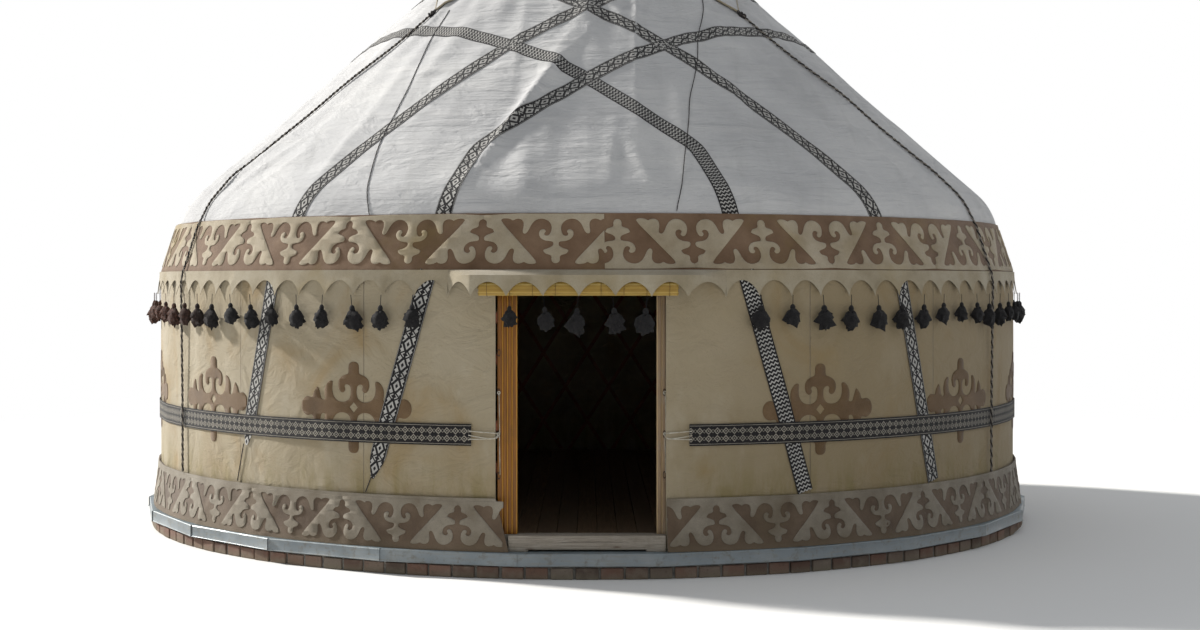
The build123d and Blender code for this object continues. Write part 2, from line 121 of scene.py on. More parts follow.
sky = bpy.data.worlds.new("sky")
scene.world = sky
sky.use_nodes = True
sky_tree = sky.node_tree
sky_tree.nodes.clear()
dome = add_node(sky_tree, "Background", {"Color": (0.93, 0.96, 1.0, 1), "Strength": 0.47})
white = add_node(sky_tree, "Background", {"Color": (1, 1, 1, 1), "Strength": 1.0})
sky_mix = add_node(
    sky_tree, "MixShader", {0: seen_directly(sky_tree), 1: dome.outputs[0], 2: white.outputs[0]}
)
add_node(sky_tree, "OutputWorld", {"Surface": sky_mix.outputs[0]})

studio_floor = made(
    bpy.ops.mesh.primitive_circle_add, vertices=96, radius=60, fill_type="NGON",
    location=(0, 0, -0.0005),
)
studio_floor.name = "studio_floor"
floor_paint = bpy.data.materials.new("pale_floor")
floor_paint.use_nodes = True
floor_tree = floor_paint.node_tree
floor_shader = floor_tree.nodes["Principled BSDF"]
floor_shader.inputs["Base Color"].default_value = (0.84, 0.84, 0.83, 1)
floor_shader.inputs["Roughness"].default_value = 0.9
spot = add_node(floor_tree, "TexCoord").outputs["Object"]
away = add_node(floor_tree, "VectorMath", {0: spot}, operation="LENGTH").outputs["Value"]
fade = add_node(floor_tree, "MapRange", {"Value": away, "From Min": 4.5, "From Max": 11.0})
fade.interpolation_type = "SMOOTHSTEP"
glow = add_node(floor_tree, "Emission", {"Color": (1, 1, 1, 1), "Strength": 1.0})
faded = times(floor_tree, fade.outputs["Result"], seen_directly(floor_tree))
floor_mix = add_node(
    floor_tree, "MixShader", {0: faded, 1: floor_shader.outputs[0], 2: glow.outputs[0]}
)
floor_tree.links.new(floor_mix.outputs[0], floor_tree.nodes["Material Output"].inputs["Surface"])
studio_floor.data.materials.append(floor_paint)
studio_floor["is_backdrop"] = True

sun = made(bpy.ops.object.light_add, type="SUN", location=(-6, -6, 8))
sun.data.energy = 6.2
sun.data.angle = radians(4)
sun.data.color = (1.0, 0.97, 0.92)
sun.rotation_euler = Vector((0.78, -0.4, -0.47)).to_track_quat("-Z", "Y").to_euler()

# Camera: at eye height in front of the doorway, as in the photograph.
eye_height = 1.62
eye_distance = 12.7
photo_width = 1200
photo_shift = (13, -32)
camera = made(
    bpy.ops.object.camera_add, location=(0, -eye_distance, eye_height), rotation=(radians(90), 0, 0)
)
camera.data.sensor_width = 36.0
camera.data.lens = 53.2
camera.data.shift_x = photo_shift[0] / photo_width
camera.data.shift_y = photo_shift[1] / photo_width
scene.camera = camera


# Brick plinth. Two courses of fired brick headers laid in lime mortar round a filled middle;
# the upper course mostly hides behind the metal edging.
def lone(piece):
    """Selects one object alone and makes it active."""
    bpy.ops.object.select_all(action="DESELECT")
    piece.select_set(True)
    bpy.context.view_layer.objects.active = piece
    return piece


def worked(piece, *steps):
    """Runs mesh operators with their settings on the whole of a piece."""
    lone(piece)
    bpy.ops.object.mode_set(mode="EDIT")
    for step, settings in steps:
        bpy.ops.mesh.select_all(action="SELECT")
        step(**settings)
    bpy.ops.object.mode_set(mode="OBJECT")
    return piece


def copied(piece, matrix):
    """A copy of a piece with its own mesh, set elsewhere."""
    other = piece.copy()
    other.data = piece.data.copy()
    other.data.transform(matrix)
    scene.collection.objects.link(other)
    return other


def joined(pieces, name):
    """Pieces joined into one object under a name."""
    bpy.ops.object.select_all(action="DESELECT")
    for piece in pieces:
        piece.select_set(True)
    bpy.context.view_layer.objects.active = pieces[0]
    bpy.ops.object.join()
    pieces[0].name = name
    pieces[0].data.name = name
    return pieces[0]


def settled(piece, finish, angle=35):
    """Gives a finished piece its finish and its place on the yurt."""
    lone(piece)
    bpy.ops.object.transform_apply(location=True, rotation=True, scale=True)
    bpy.ops.object.shade_smooth_by_angle(angle=radians(angle))
    piece.data.materials.clear()
    piece.data.materials.append(finish)
    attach(piece, "root")
    return piece


def give_shade(piece, value):
    """Stores one number on all faces of a piece, which its finish reads as a shade."""
    layer = piece.data.attributes.get("shade") or piece.data.attributes.new("shade", "FLOAT", "FACE")
    layer.data.foreach_set("value", [value] * len(piece.data.polygons))


def new_finish(name, roughness, metallic=0.0, sheen=0.0):
    """A new finish: the material, its node tree and its shader."""
    material = bpy.data.materials.new(name)
    material.use_nodes = True
    shader = material.node_tree.nodes["Principled BSDF"]
    shader.inputs["Roughness"].default_value = roughness
    shader.inputs["Metallic"].default_value = metallic
    shader.inputs["Sheen Weight"].default_value = sheen
    shader.inputs["Sheen Roughness"].default_value = 0.5
    shader.inputs["Specular IOR Level"].default_value = 0.3
    return material, material.node_tree, shader


def place_in(tree, stretch=(1, 1, 1), shift=(0, 0, 0), source="Object"):
    """The piece's own coordinates, stretched and shifted."""
    start = add_node(tree, "TexCoord").outputs[source]
    sockets = {"Vector": start, "Scale": stretch, "Location": shift}
    return add_node(tree, "Mapping", sockets).outputs[0]


def part_of(tree, vector, axis):
    return add_node(tree, "SeparateXYZ", {0: vector}).outputs[axis]


def mottle(tree, where, scale, detail=4.0, rough=0.55, twist=0.0):
    sockets = {"Vector": where, "Scale": scale, "Detail": detail, "Roughness": rough}
    sockets["Distortion"] = twist
    return add_node(tree, "TexNoise", sockets).outputs["Fac"]


def tones(tree, value, *stops):
    """Colours spread along a value."""
    ramp = add_node(tree, "ValToRGB", {"Fac": value})
    elements = ramp.color_ramp.elements
    while len(elements) < len(stops):
        elements.new(0.5)
    for element, (place, colour) in zip(elements, stops):
        element.position = place
        element.color = (*colour, 1)
    return ramp.outputs["Color"]


def layered(tree, amount, under, over):
    """One colour over another, by an amount from 0 to 1."""
    def as_socket(colour):
        return colour if isinstance(colour, bpy.types.NodeSocket) else (*colour, 1)

    sockets = {0: amount, 6: as_socket(under), 7: as_socket(over)}
    return add_node(tree, "Mix", sockets, data_type="RGBA").outputs[2]


def spread_out(tree, value, low, high, to_low=0.0, to_high=1.0):
    """A value stretched from one range to another, softly."""
    sockets = {"Value": value, "From Min": low, "From Max": high, "To Min": to_low, "To Max": to_high}
    return add_node(tree, "MapRange", sockets, interpolation_type="SMOOTHSTEP").outputs["Result"]


def stained(tree, under, value, span, amount, over):
    """A stain over a colour, from none to an amount as a value goes through its span."""
    return layered(tree, spread_out(tree, value, *span, 0, amount), under, over)


def raised(tree, shader, *layers):
    """Bumps from several heights, each with its depth in metres, on one shader."""
    normal = None
    for height, depth in layers:
        sockets = {"Height": height, "Distance": depth, "Strength": 1.0}
        if normal is not None:
            sockets["Normal"] = normal
        normal = add_node(tree, "Bump", sockets).outputs[0]
    tree.links.new(normal, shader.inputs["Normal"])


def coloured(tree, shader, colour, roughness=None):
    tree.links.new(colour, shader.inputs["Base Color"])
    if roughness is not None:
        tree.links.new(roughness, shader.inputs["Roughness"])


plinth_radius = 3.030
plinth_height = 0.14
brick_height = 0.065
brick_depth = 0.1
bed_joint = 0.005
bricks_round = 139
brick_joint = 0.012

brick_clay, tree, shader = new_finish("fired_brick", 0.9)
where = place_in(tree)
own = add_node(tree, "Attribute", attribute_name="shade").outputs["Fac"]
clay = tones(
    tree, own, (0.0, (0.08, 0.057, 0.045)), (0.35, (0.14, 0.078, 0.058)),
    (0.7, (0.18, 0.11, 0.082)), (1.0, (0.15, 0.125, 0.1)),
)
blotch = mottle(tree, where, 14, 5)
clay = stained(tree, clay, blotch, (0.45, 0.7), 0.5, (0.2, 0.165, 0.13))
dust = mottle(tree, where, 60, 4)
clay = stained(tree, clay, dust, (0.55, 0.75), 0.55, (0.08, 0.06, 0.05))
low = part_of(tree, where, "Z")
clay = stained(tree, clay, low, (0.05, 0.0), 0.45, (0.16, 0.15, 0.1))
coloured(tree, shader, clay)
raised(tree, shader, (mottle(tree, where, 120, 6), 0.003), (blotch, 0.004))

lime_mortar, tree, shader = new_finish("lime_mortar", 0.95)
where = place_in(tree)
coloured(tree, shader, tones(
    tree, mottle(tree, where, 25, 6), (0.3, (0.1, 0.095, 0.085)), (0.7, (0.24, 0.225, 0.2))
))
raised(tree, shader, (mottle(tree, where, 180, 5), 0.003))

brick_turn = 360 / bricks_round
brick_width = 2 * pi * plinth_radius / bricks_round - brick_joint
brick = made(
    bpy.ops.mesh.primitive_cube_add, size=1, location=(0, brick_depth / 2, brick_height / 2)
)
brick.scale = (brick_width, brick_depth, brick_height)
bpy.ops.object.transform_apply(location=True, scale=True)
worked(brick, (bpy.ops.mesh.bevel, {"offset": 0.004, "segments": 1}))
bricks = []
for course in range(2):
    for number in range(bricks_round):
        turn = (number + 0.5 * course) * brick_turn + chance.uniform(-0.05, 0.05)
        size = Matrix.Diagonal((chance.uniform(0.95, 1.01), 1, chance.uniform(0.95, 1.0), 1))
        tilt = Matrix.Rotation(chance.uniform(-0.012, 0.012), 4, "X")
        level = course * (brick_height + bed_joint) + chance.uniform(0, 0.0015)
        out = plinth_radius - 0.004 + chance.uniform(-0.004, 0.003)
        spot_at = Matrix.Translation((0, -out, level))
        bricks.append(copied(brick, Matrix.Rotation(radians(turn), 4, "Z") @ spot_at @ tilt @ size))
        give_shade(bricks[-1], chance.uniform(0, 1))
bpy.data.objects.remove(brick)
plinth_bricks = settled(joined(bricks, "plinth_bricks"), brick_clay)
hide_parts("brick_plinth")

mortar = made(
    bpy.ops.mesh.primitive_cylinder_add, vertices=144, radius=plinth_radius - 0.016,
    depth=plinth_height, location=(0, 0, plinth_height / 2),
)
mortar.name = "plinth_mortar"
joint_level = brick_height + bed_joint / 2
worked(mortar, (bpy.ops.mesh.bisect, {"plane_co": (0, 0, joint_level), "plane_no": (0, 0, 1)}))
settled(mortar, lime_mortar)


# Metal edging. Galvanised sheet folded over the plinth's rim in twenty-four straight lengths,
# each lapped over the next and nailed down through the flange.
edging_radius = 3.034
edging_sides = 24
edging_top = 0.142
edging_drop = 0.07
flange = 0.110
sheet = 0.0018
inner_bend = 0.006
over_lap = 0.0012
nail_places = (-0.3, 0.03, 0.37)
nail_inset = 0.045

sheet_metal, tree, shader = new_finish("weathered_sheet", 0.55, 0.2)
where = place_in(tree)
streak = mottle(tree, place_in(tree, (3, 3, 40)), 3, 5)
cloud = mottle(tree, where, 5, 6)
# Faces that look up turn blue-grey: a painted reflection of the sky on the top of the edging.
up = part_of(tree, add_node(tree, "NewGeometry").outputs["Normal"], "Z")
zinc = tones(
    tree, cloud, (0.25, (0.13, 0.155, 0.17)), (0.55, (0.19, 0.217, 0.232)), (0.8, (0.26, 0.28, 0.283))
)
zinc = stained(tree, zinc, streak, (0.45, 0.75), 0.5, (0.2, 0.19, 0.16))
zinc = stained(tree, zinc, up, (0.5, 0.9), 0.75, (0.17, 0.22, 0.25))
dirt = mottle(tree, where, 22, 6, 0.7)
zinc = stained(tree, zinc, dirt, (0.5, 0.72), 0.7, (0.12, 0.105, 0.08))
coloured(tree, shader, zinc, spread_out(tree, cloud, 0.3, 0.7, 0.35, 0.6))
raised(tree, shader, (cloud, 0.004), (mottle(tree, where, 90, 4), 0.0006))

side_half = pi / edging_sides
outward_faces = (bpy.ops.mesh.normals_make_consistent, {"inside": False})
lap = 0.018
profile = [
    (-flange, -sheet), (-inner_bend, -sheet), (-sheet, -inner_bend), (-sheet, -edging_drop + inner_bend),
    (0.0015, -edging_drop), (0.0035, -edging_drop + 0.004), (0.0, -edging_drop + 0.009),
    (0.0, -0.005), (-0.004, 0.0), (-flange, 0.0),
]
length = made(bpy.ops.mesh.primitive_plane_add, size=1)
corners = []
for end, reach_out, over in ((-1, 0.0, 0.0), (1, lap, over_lap)):
    for out, rise in profile:
        radius = edging_radius + out
        reach_to = end * (radius * tan(side_half) + reach_out)
        corners.append((reach_to, -radius - over, edging_top + rise + over))
count = len(profile)
faces = [[i, (i + 1) % count, (i + 1) % count + count, i + count] for i in range(count)]
faces += [list(range(count))[::-1], list(range(count, 2 * count))]
length.data.clear_geometry()
length.data.from_pydata(corners, [], faces)
worked(length, outward_faces)
lengths = [
    copied(length, Matrix.Rotation(2 * side_half * number, 4, "Z")) for number in range(edging_sides)
]
bpy.data.objects.remove(length)
nail = made(bpy.ops.mesh.primitive_uv_sphere_add, segments=8, ring_count=5, radius=0.005)
nail.data.transform(Matrix.Diagonal((1, 1, 0.45, 1)))
for number in range(edging_sides):
    for along in nail_places:
        spot_at = Matrix.Rotation(2 * side_half * number, 4, "Z") @ Matrix.Translation(
            (along, -edging_radius + nail_inset, edging_top + 0.001)
        )
        lengths.append(copied(nail, spot_at))
bpy.data.objects.remove(nail)
edging = settled(joined(lengths, "metal_edging_sheet"), sheet_metal)
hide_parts("metal_edging")


# Floor. Planed pine boards laid side by side across the plinth, cut round to the lattice.
floor_radius = 2.886
floor_top = 0.158
floor_foot = 0.1405
board_width = 0.118
board_gap = 0.0024
threshold_back = 2.828
threshold_half = 0.53

floor_pine, tree, shader = new_finish("floor_pine", 0.6)
where = place_in(tree)
own = add_node(tree, "Attribute", attribute_name="shade").outputs["Fac"]
line = mottle(tree, place_in(tree, (12, 0.6, 1)), 6, 5, 0.6, 0.4)
wood = tones(tree, line, (0.3, (0.2, 0.125, 0.07)), (0.7, (0.36, 0.24, 0.14)))
wood = layered(tree, own, wood, (0.24, 0.17, 0.11))
coloured(tree, shader, wood)
raised(tree, shader, (line, 0.0015))

boards = []
middle = 0
while middle * board_width < floor_radius:
    for side in ((-1, 1) if middle else (0,)):
        left = (side * middle - 0.5) * board_width + board_gap / 2
        right = left + board_width - board_gap
        if max(abs(left), abs(right)) > floor_radius - 0.02:
            continue
        ends = [sqrt(floor_radius**2 - x**2) for x in (left, right)]
        front_end = [
            min(end, threshold_back) if abs(x) < threshold_half else end
            for end, x in zip(ends, (left, right))
        ]
        board = made(bpy.ops.mesh.primitive_cube_add, size=1)
        for point in board.data.vertices:
            x = right if point.co.x > 0 else left
            which = int(point.co.x > 0)
            y = ends[which] if point.co.y > 0 else -front_end[which]
            point.co = (x, y, floor_top if point.co.z > 0 else floor_foot)
        worked(board, (bpy.ops.mesh.bevel, {"offset": 0.002, "segments": 1}))
        give_shade(board, chance.uniform(0, 1))
        boards.append(board)
    middle += 1
floor_piece = settled(joined(boards, "floor_planks"), floor_pine)
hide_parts("floor_boards")


# Door frame. Pine posts and lintel, planed, grooved down the front and varnished orange, stand
# on a bare threshold plank that the weather has greyed; all four are morticed together.
def applied(piece, *kinds):
    """Adds modifiers with their settings and applies each."""
    lone(piece)
    for kind, settings in kinds:
        step = piece.modifiers.new(kind.lower(), kind)
        for key, value in settings.items():
            setattr(step, key, value)
        bpy.ops.object.modifier_apply(modifier=step.name)
    return piece


def dressed(node_name, name, ease):
    """A copy of a frame part, its loose triangles merged and its edges eased with a plane."""
    piece = frame["nodes"][node_name].copy()
    piece.data = piece.data.copy()
    piece.parent = None
    for key in list(piece.keys()):
        del piece[key]
    piece.name = name
    piece.data.name = name
    scene.collection.objects.link(piece)
    worked(
        piece, (bpy.ops.mesh.remove_doubles, {"threshold": 0.00002}),
        (bpy.ops.mesh.dissolve_limited, {"angle_limit": radians(2)}), outward_faces,
    )
    return applied(piece, ("BEVEL", {"width": ease, "segments": 2, "limit_method": "ANGLE"}))


def size_of(tree, value):
    """A value without its sign."""
    return maths(tree, "ABSOLUTE", value)


def wood_finish(name, dark, light, line_colour, line_spots, grey, roughness, coat=0.0):
    """Planed wood with upright grain, lighter lines at some places and weathering."""
    material, tree, shader = new_finish(name, roughness)
    where = place_in(tree)
    grain = mottle(tree, place_in(tree, (14, 14, 0.7)), 7, 5, 0.6, 0.8)
    fine = mottle(tree, place_in(tree, (60, 60, 1.6)), 12, 3)
    wood = tones(tree, grain, (0.28, dark), (0.72, light))
    wood = stained(tree, wood, fine, (0.4, 0.7), 0.35, dark)
    across = part_of(tree, where, "X")
    # Lighter lines down the grooves: partly bare wood, partly a painted highlight where light catches the
    # groove edges.
    for line_spot, width in line_spots:
        off = size_of(tree, maths(tree, "SUBTRACT", across, line_spot))
        on_line = spread_out(tree, off, width, width * 0.4)
        wood = layered(tree, times(tree, on_line, 0.85), wood, line_colour)
    wear = mottle(tree, where, 6, 6, 0.6)
    wood = stained(tree, wood, wear, (0.5, 0.8), 0.6, grey)
    coloured(tree, shader, wood, spread_out(tree, wear, 0.3, 0.8, roughness - 0.1, roughness + 0.2))
    shader.inputs["Coat Weight"].default_value = coat
    shader.inputs["Coat Roughness"].default_value = 0.25
    raised(tree, shader, (grain, 0.0012), (fine, 0.0006))
    return material


# Colour of the lighter groove lines on the left post and lintel: bare wood with a painted highlight.
golden = (0.52, 0.26, 0.03)
left_pine = wood_finish(
    "varnished_pine", (0.12, 0.042, 0.004), (0.29, 0.112, 0.009), golden,
    [(-0.466, 0.004), (-0.44, 0.004), (-0.414, 0.004), (-0.388, 0.003)], (0.15, 0.08, 0.03), 0.5, 0.12,
)
right_pine = wood_finish(
    "faded_pine", (0.17, 0.11, 0.06), (0.33, 0.24, 0.15), (0.42, 0.3, 0.16),
    [(0.388, 0.004), (0.414, 0.004)], (0.27, 0.24, 0.2), 0.6,
)
for node_name, name, pine in (
    ("left_door_post", "left_post", left_pine),
    ("right_door_post", "right_post", right_pine),
    ("door_lintel", "lintel", left_pine),
):
    post = settled(dressed(node_name, name, 0.003), pine)
    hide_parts(node_name)

sill_wood, tree, shader = new_finish("greyed_plank", 0.8)
where = place_in(tree)
grain = mottle(tree, place_in(tree, (0.7, 14, 14)), 7, 6, 0.65, 1.2)
fine = mottle(tree, place_in(tree, (2, 60, 60)), 14, 3)
plank = tones(
    tree, grain, (0.25, (0.16, 0.135, 0.105)), (0.5, (0.29, 0.255, 0.21)), (0.75, (0.4, 0.365, 0.31))
)
plank = stained(tree, plank, fine, (0.5, 0.75), 0.5, (0.12, 0.1, 0.08))
knots = add_node(tree, "TexVoronoi", {"Vector": place_in(tree, (3.2, 9, 13)), "Scale": 1.3})
plank = layered(tree, spread_out(tree, knots.outputs["Distance"], 0.16, 0.05), plank, (0.1, 0.06, 0.035))
mud = mottle(tree, where, 11, 6, 0.7)
plank = stained(tree, plank, mud, (0.52, 0.78), 0.6, (0.17, 0.14, 0.1))
coloured(tree, shader, plank)
raised(tree, shader, (grain, 0.003), (fine, 0.001))
threshold = dressed("threshold", "threshold_plank", 0.005)
crack = made(bpy.ops.mesh.primitive_cube_add, size=1, location=(0.03, -2.96, 0.196))
crack.scale = (0.34, 0.012, 0.0035)
applied(threshold, ("BOOLEAN", {"object": crack, "operation": "DIFFERENCE", "solver": "EXACT"}))
bpy.data.objects.remove(crack)
settled(threshold, sill_wood)
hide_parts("threshold")

hook_iron, tree, shader = new_finish("blackened_iron", 0.55, 0.8)
where = place_in(tree)
coloured(tree, shader, tones(
    tree, mottle(tree, where, 90, 5), (0.35, (0.03, 0.027, 0.025)), (0.7, (0.12, 0.06, 0.035))
))
raised(tree, shader, (mottle(tree, where, 400, 3), 0.0005))
hooks = []
for x, heights in ((-0.487, (1.235, 1.016, 0.785, 0.555)), (0.428, (1.016, 0.785, 0.56))):
    for height in heights:
        hook = made(
            bpy.ops.mesh.primitive_torus_add, major_segments=20, minor_segments=8,
            major_radius=0.011, minor_radius=0.0022, location=(x, -2.903, height),
            rotation=(radians(90), 0, radians(20)),
        )
        hook.scale = (0.8, 1.6, 1)
        hooks.append(hook)
settled(joined(hooks, "post_hooks"), hook_iron)


# Wall lattice, roof poles and crown. Split willow, steamed to its bend, tied with rawhide and
# painted red-brown with ochre; the felts hide all but what shows through the doorway.
def painted_willow(name, tone, stretch):
    material, tree, shader = new_finish(name, 0.55)
    where = place_in(tree)
    grain = mottle(tree, place_in(tree, stretch), 9, 5, 0.6, 0.5)
    paint = tones(tree, grain, (0.3, [c * 0.55 for c in tone]), (0.7, tone))
    worn = mottle(tree, where, 18, 6, 0.7)
    paint = stained(tree, paint, worn, (0.58, 0.72), 0.7, (0.36, 0.25, 0.15))
    coloured(tree, shader, paint, spread_out(tree, worn, 0.4, 0.7, 0.45, 0.7))
    raised(tree, shader, (grain, 0.0015))
    return material


lath_paint = painted_willow("ochre_laths", (0.3, 0.1, 0.05), (4, 4, 6))
pole_paint = painted_willow("ochre_poles", (0.34, 0.11, 0.055), (9, 9, 1.5))
crown_paint = painted_willow("ochre_crown", (0.36, 0.12, 0.06), (3, 3, 14))
for name, part in frame["nodes"].items():
    if name.startswith("wall_lattice"):
        paint = lath_paint
    elif name.startswith("roof_poles"):
        paint = pole_paint
    elif name.startswith("crown_") and name != "crown_cover":
        paint = crown_paint
    else:
        continue
    part.data.materials.clear()
    part.data.materials.append(paint)


# Wall covers. Six lengths of thick felt faced with cream cotton stand round the lattice, pulled
# tight by the bands; rain has run down them and left yellow and green stains.
wall_face = 2.9615
wall_foot = 0.143
eave_level = 1.690
pole_turn = 7.5


def near(azimuth, middle):
    return (azimuth - middle + 180) % 360 - 180


def ridges_at(azimuth, up, radius, ridges):
    """Height of soft ridges in a cover: each has a middle, level, lean, width, length, height."""
    total = np.zeros(np.broadcast(azimuth, up).shape)
    for middle, level, lean, width, length, height in ridges:
        across = np.radians(near(azimuth, middle)) * radius - lean * (up - level)
        total = total + height * np.exp(-((across / width) ** 2) - ((up - level) / length) ** 2)
    return total


def chance_ridges(count, *spans):
    """Ridges spread round the tent by chance; each value has a span, or stays as one number."""
    return [
        (
            chance.uniform(-180, 180),
            *(chance.uniform(*span) if isinstance(span, tuple) else span for span in spans),
        )
        for _ in range(count)
    ]


wall_ridges = chance_ridges(110, (0.3, 1.5), (-0.3, 0.3), (0.02, 0.09), (0.15, 0.6), (0.001, 0.0042))


def wall_out(azimuth, height):
    """Radius of the wall cover's outer face."""
    drawn = 0.0016 * (1 + np.cos(2 * pi * azimuth / pole_turn))
    return wall_face + drawn + ridges_at(azimuth, height, wall_face, wall_ridges)


def turned_out(azimuth, radius, height):
    """Points from azimuths in degrees, radii and heights."""
    turn = np.radians(azimuth)
    return np.stack(np.broadcast_arrays(radius * np.sin(turn), -radius * np.cos(turn), height), -1)


def cloth(name, points, thickness, across, along):
    """A sheet from rows of points on its outer face, with its flat sizes as its UV map."""
    rows, columns = points.shape[:2]
    order = np.arange(rows * columns).reshape(rows, columns)
    quads = np.stack([order[:-1, :-1], order[:-1, 1:], order[1:, 1:], order[1:, :-1]], -1)
    quads = quads.reshape(-1, 4)
    mesh = bpy.data.meshes.new(name)
    mesh.from_pydata(points.reshape(-1, 3).tolist(), [], quads.tolist())
    flat = np.stack([across.ravel(), along.ravel()], -1)[quads.ravel()]
    mesh.uv_layers.new(name="flat").data.foreach_set("uv", flat.ravel())
    piece = bpy.data.objects.new(name, mesh)
    scene.collection.objects.link(piece)
    return applied(piece, ("SOLIDIFY", {"thickness": thickness, "offset": -1}))


def weave_bump(tree, flat, threads):
    """Height of a plain weave at so many threads a metre."""
    warp = maths(tree, "SINE", times(tree, part_of(tree, flat, "X"), 2 * pi * threads))
    weft = maths(tree, "SINE", times(tree, part_of(tree, flat, "Y"), 2 * pi * threads))
    return times(tree, warp, weft)


def line_at(tree, value, spots, width):
    """1 on thin lines at some values, for seams and creases."""
    total = None
    for spot_at in spots:
        off = size_of(tree, maths(tree, "SUBTRACT", value, spot_at))
        on_line = spread_out(tree, off, width, width * 0.3)
        total = on_line if total is None else maths(tree, "MAXIMUM", total, on_line)
    return total


arc = pi * wall_face / 180
wall_seams = [sign * arc * turn for sign in (-1, 1) for turn in (25.2, 44.1, 90.0, 135.9, 154.8)]
wall_cotton, tree, shader = new_finish("cream_cotton", 0.92, sheen=0.15)
where = place_in(tree)
flat = place_in(tree, source="UV")
cloud = mottle(tree, where, 1.6, 5)
cotton = tones(
    tree, cloud, (0.3, (0.27, 0.218, 0.134)), (0.5, (0.32, 0.27, 0.183)), (0.72, (0.355, 0.307, 0.222))
)
runs = mottle(tree, place_in(tree, (1.3, 0.9, 1), source="UV"), 1.4, 5, 0.55, 0.9)
cotton = stained(tree, cotton, runs, (0.5, 0.74), 0.75, (0.26, 0.175, 0.07))
pale_runs = mottle(tree, place_in(tree, (2.2, 1.2, 1), shift=(3, 5, 0), source="UV"), 1.6, 4, 0.6)
cotton = stained(tree, cotton, pale_runs, (0.52, 0.72), 0.4, (0.41, 0.365, 0.28))
# Towards the right (+x) the cover turns darker and yellower in patches: partly a yellow stain, partly
# painted shade of the side away from the sun.
sideways = part_of(tree, where, "X")
patchy = spread_out(tree, cloud, 0.2, 0.7, 0.25, 0.6)
right_stain_and_shade = times(tree, spread_out(tree, sideways, 0.1, 1.6), patchy)
cotton = layered(tree, right_stain_and_shade, cotton, (0.21, 0.145, 0.06))
below = spread_out(tree, part_of(tree, flat, "Y"), 0.75, 0.3)
moss = mottle(tree, place_in(tree, (7, 1.6, 1), shift=(1, 2, 0), source="UV"), 1.3, 6, 0.65)
moss_amount = times(tree, below, spread_out(tree, moss, 0.4, 0.66, 0, 0.85))
cotton = layered(tree, moss_amount, cotton, (0.19, 0.15, 0.05))
speck = mottle(tree, where, 46, 5, 0.65)
cotton = stained(tree, cotton, speck, (0.58, 0.75), 0.45, (0.24, 0.19, 0.11))
stitched = line_at(tree, part_of(tree, flat, "X"), wall_seams, 0.004)
cotton = layered(tree, times(tree, stitched, 0.65), cotton, (0.2, 0.16, 0.11))
coloured(tree, shader, cotton)
creases = mottle(tree, place_in(tree, (1.6, 2.2, 1), source="UV"), 3.0, 6, 0.6, 0.8)
raised(
    tree, shader, (creases, 0.022), (speck, 0.0015), (times(tree, stitched, -1.0), 0.004),
    (weave_bump(tree, flat, 160), 0.0004),
)

cover_left_x, cover_right_x = 0.506, 0.436
door_left = degrees(asin(cover_left_x / wall_face))
door_right = degrees(asin(cover_right_x / wall_face))
covers = (
    ("front_right", 0, 60), ("right", 60, 120), ("back_right", 120, 180),
    ("back_left", -180, -120), ("left", -120, -60), ("front_left", -60, 0),
)
for cover, begin, end in covers:
    begin = max(begin, door_right) if begin == 0 else begin
    end = min(end, -door_left) if end == 0 else end
    columns = int((end - begin) / 0.75) + 1
    azimuth, height = np.meshgrid(
        np.linspace(begin, end, columns), np.linspace(wall_foot, eave_level - 0.003, 32)
    )
    points = turned_out(azimuth, wall_out(azimuth, height), height)
    wall_piece = cloth(f"wall_cover_{cover}", points, 0.010, azimuth * arc, height)
    settled(wall_piece, wall_cotton, 60)
    width = (end - begin) * arc
    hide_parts(f"wall_felt_{cover}")


# Wall ornaments. Brown felt cut into a four-armed ram's-horn figure with a lozenge hole, sewn
# flat on the wall covers at even distances round the tent.
def rounded(points, rounds):
    """A closed cut line with its corners eased, as shears leave it."""
    line = np.array(points, float)
    for _ in range(rounds):
        after = np.roll(line, -1, 0)
        pairs = np.stack([0.75 * line + 0.25 * after, 0.25 * line + 0.75 * after], 1)
        line = pairs.reshape(-1, 2)
    return line


def enclosed(outline):
    """Area inside a closed line."""
    x, y = np.array(outline).T
    return abs(np.sum(x * np.roll(y, -1) - y * np.roll(x, -1))) / 2


def cut_felt(name, outlines, thick, step):
    """A flat felt shape from its cut lines, with eased edges, scored so that it can bend."""
    shape = bpy.data.curves.new(name, "CURVE")
    shape.dimensions = "2D"
    shape.fill_mode = "BOTH"
    shape.extrude = thick * 0.2
    shape.bevel_depth = thick * 0.3
    shape.bevel_resolution = 0
    shape.offset = -thick * 0.3
    for outline in outlines:
        spline = shape.splines.new("POLY")
        spline.points.add(len(outline) - 1)
        spline.points.foreach_set("co", [c for x, y in outline for c in (x, y, 0, 1)])
        spline.use_cyclic_u = True
    piece = bpy.data.objects.new(name, shape)
    scene.collection.objects.link(piece)
    lone(piece)
    bpy.ops.object.convert(target="MESH")
    piece = bpy.context.object
    xs = [x for outline in outlines for x, _ in outline]
    scores = [
        (bpy.ops.mesh.bisect, {"plane_co": (number * step, 0, 0), "plane_no": (1, 0, 0)})
        for number in range(int(min(xs) // step), int(max(xs) // step) + 1)
    ]
    return worked(
        piece, (bpy.ops.mesh.remove_doubles, {"threshold": 0.00003}), *scores, outward_faces
    )


def laid(piece, where_on, name):
    """A copy of a flat shape laid on the tent: where_on takes its x, y and height."""
    other = copied(piece, Matrix.Identity(4))
    other.name = name
    flat_points = np.zeros(len(other.data.vertices) * 3)
    other.data.vertices.foreach_get("co", flat_points)
    x, y, z = flat_points.reshape(-1, 3).T
    other.data.vertices.foreach_set("co", where_on(x, y, z).astype(np.float32).ravel())
    other.data.update()
    return other


def plus(tree, first, second):
    return maths(tree, "ADD", first, second)


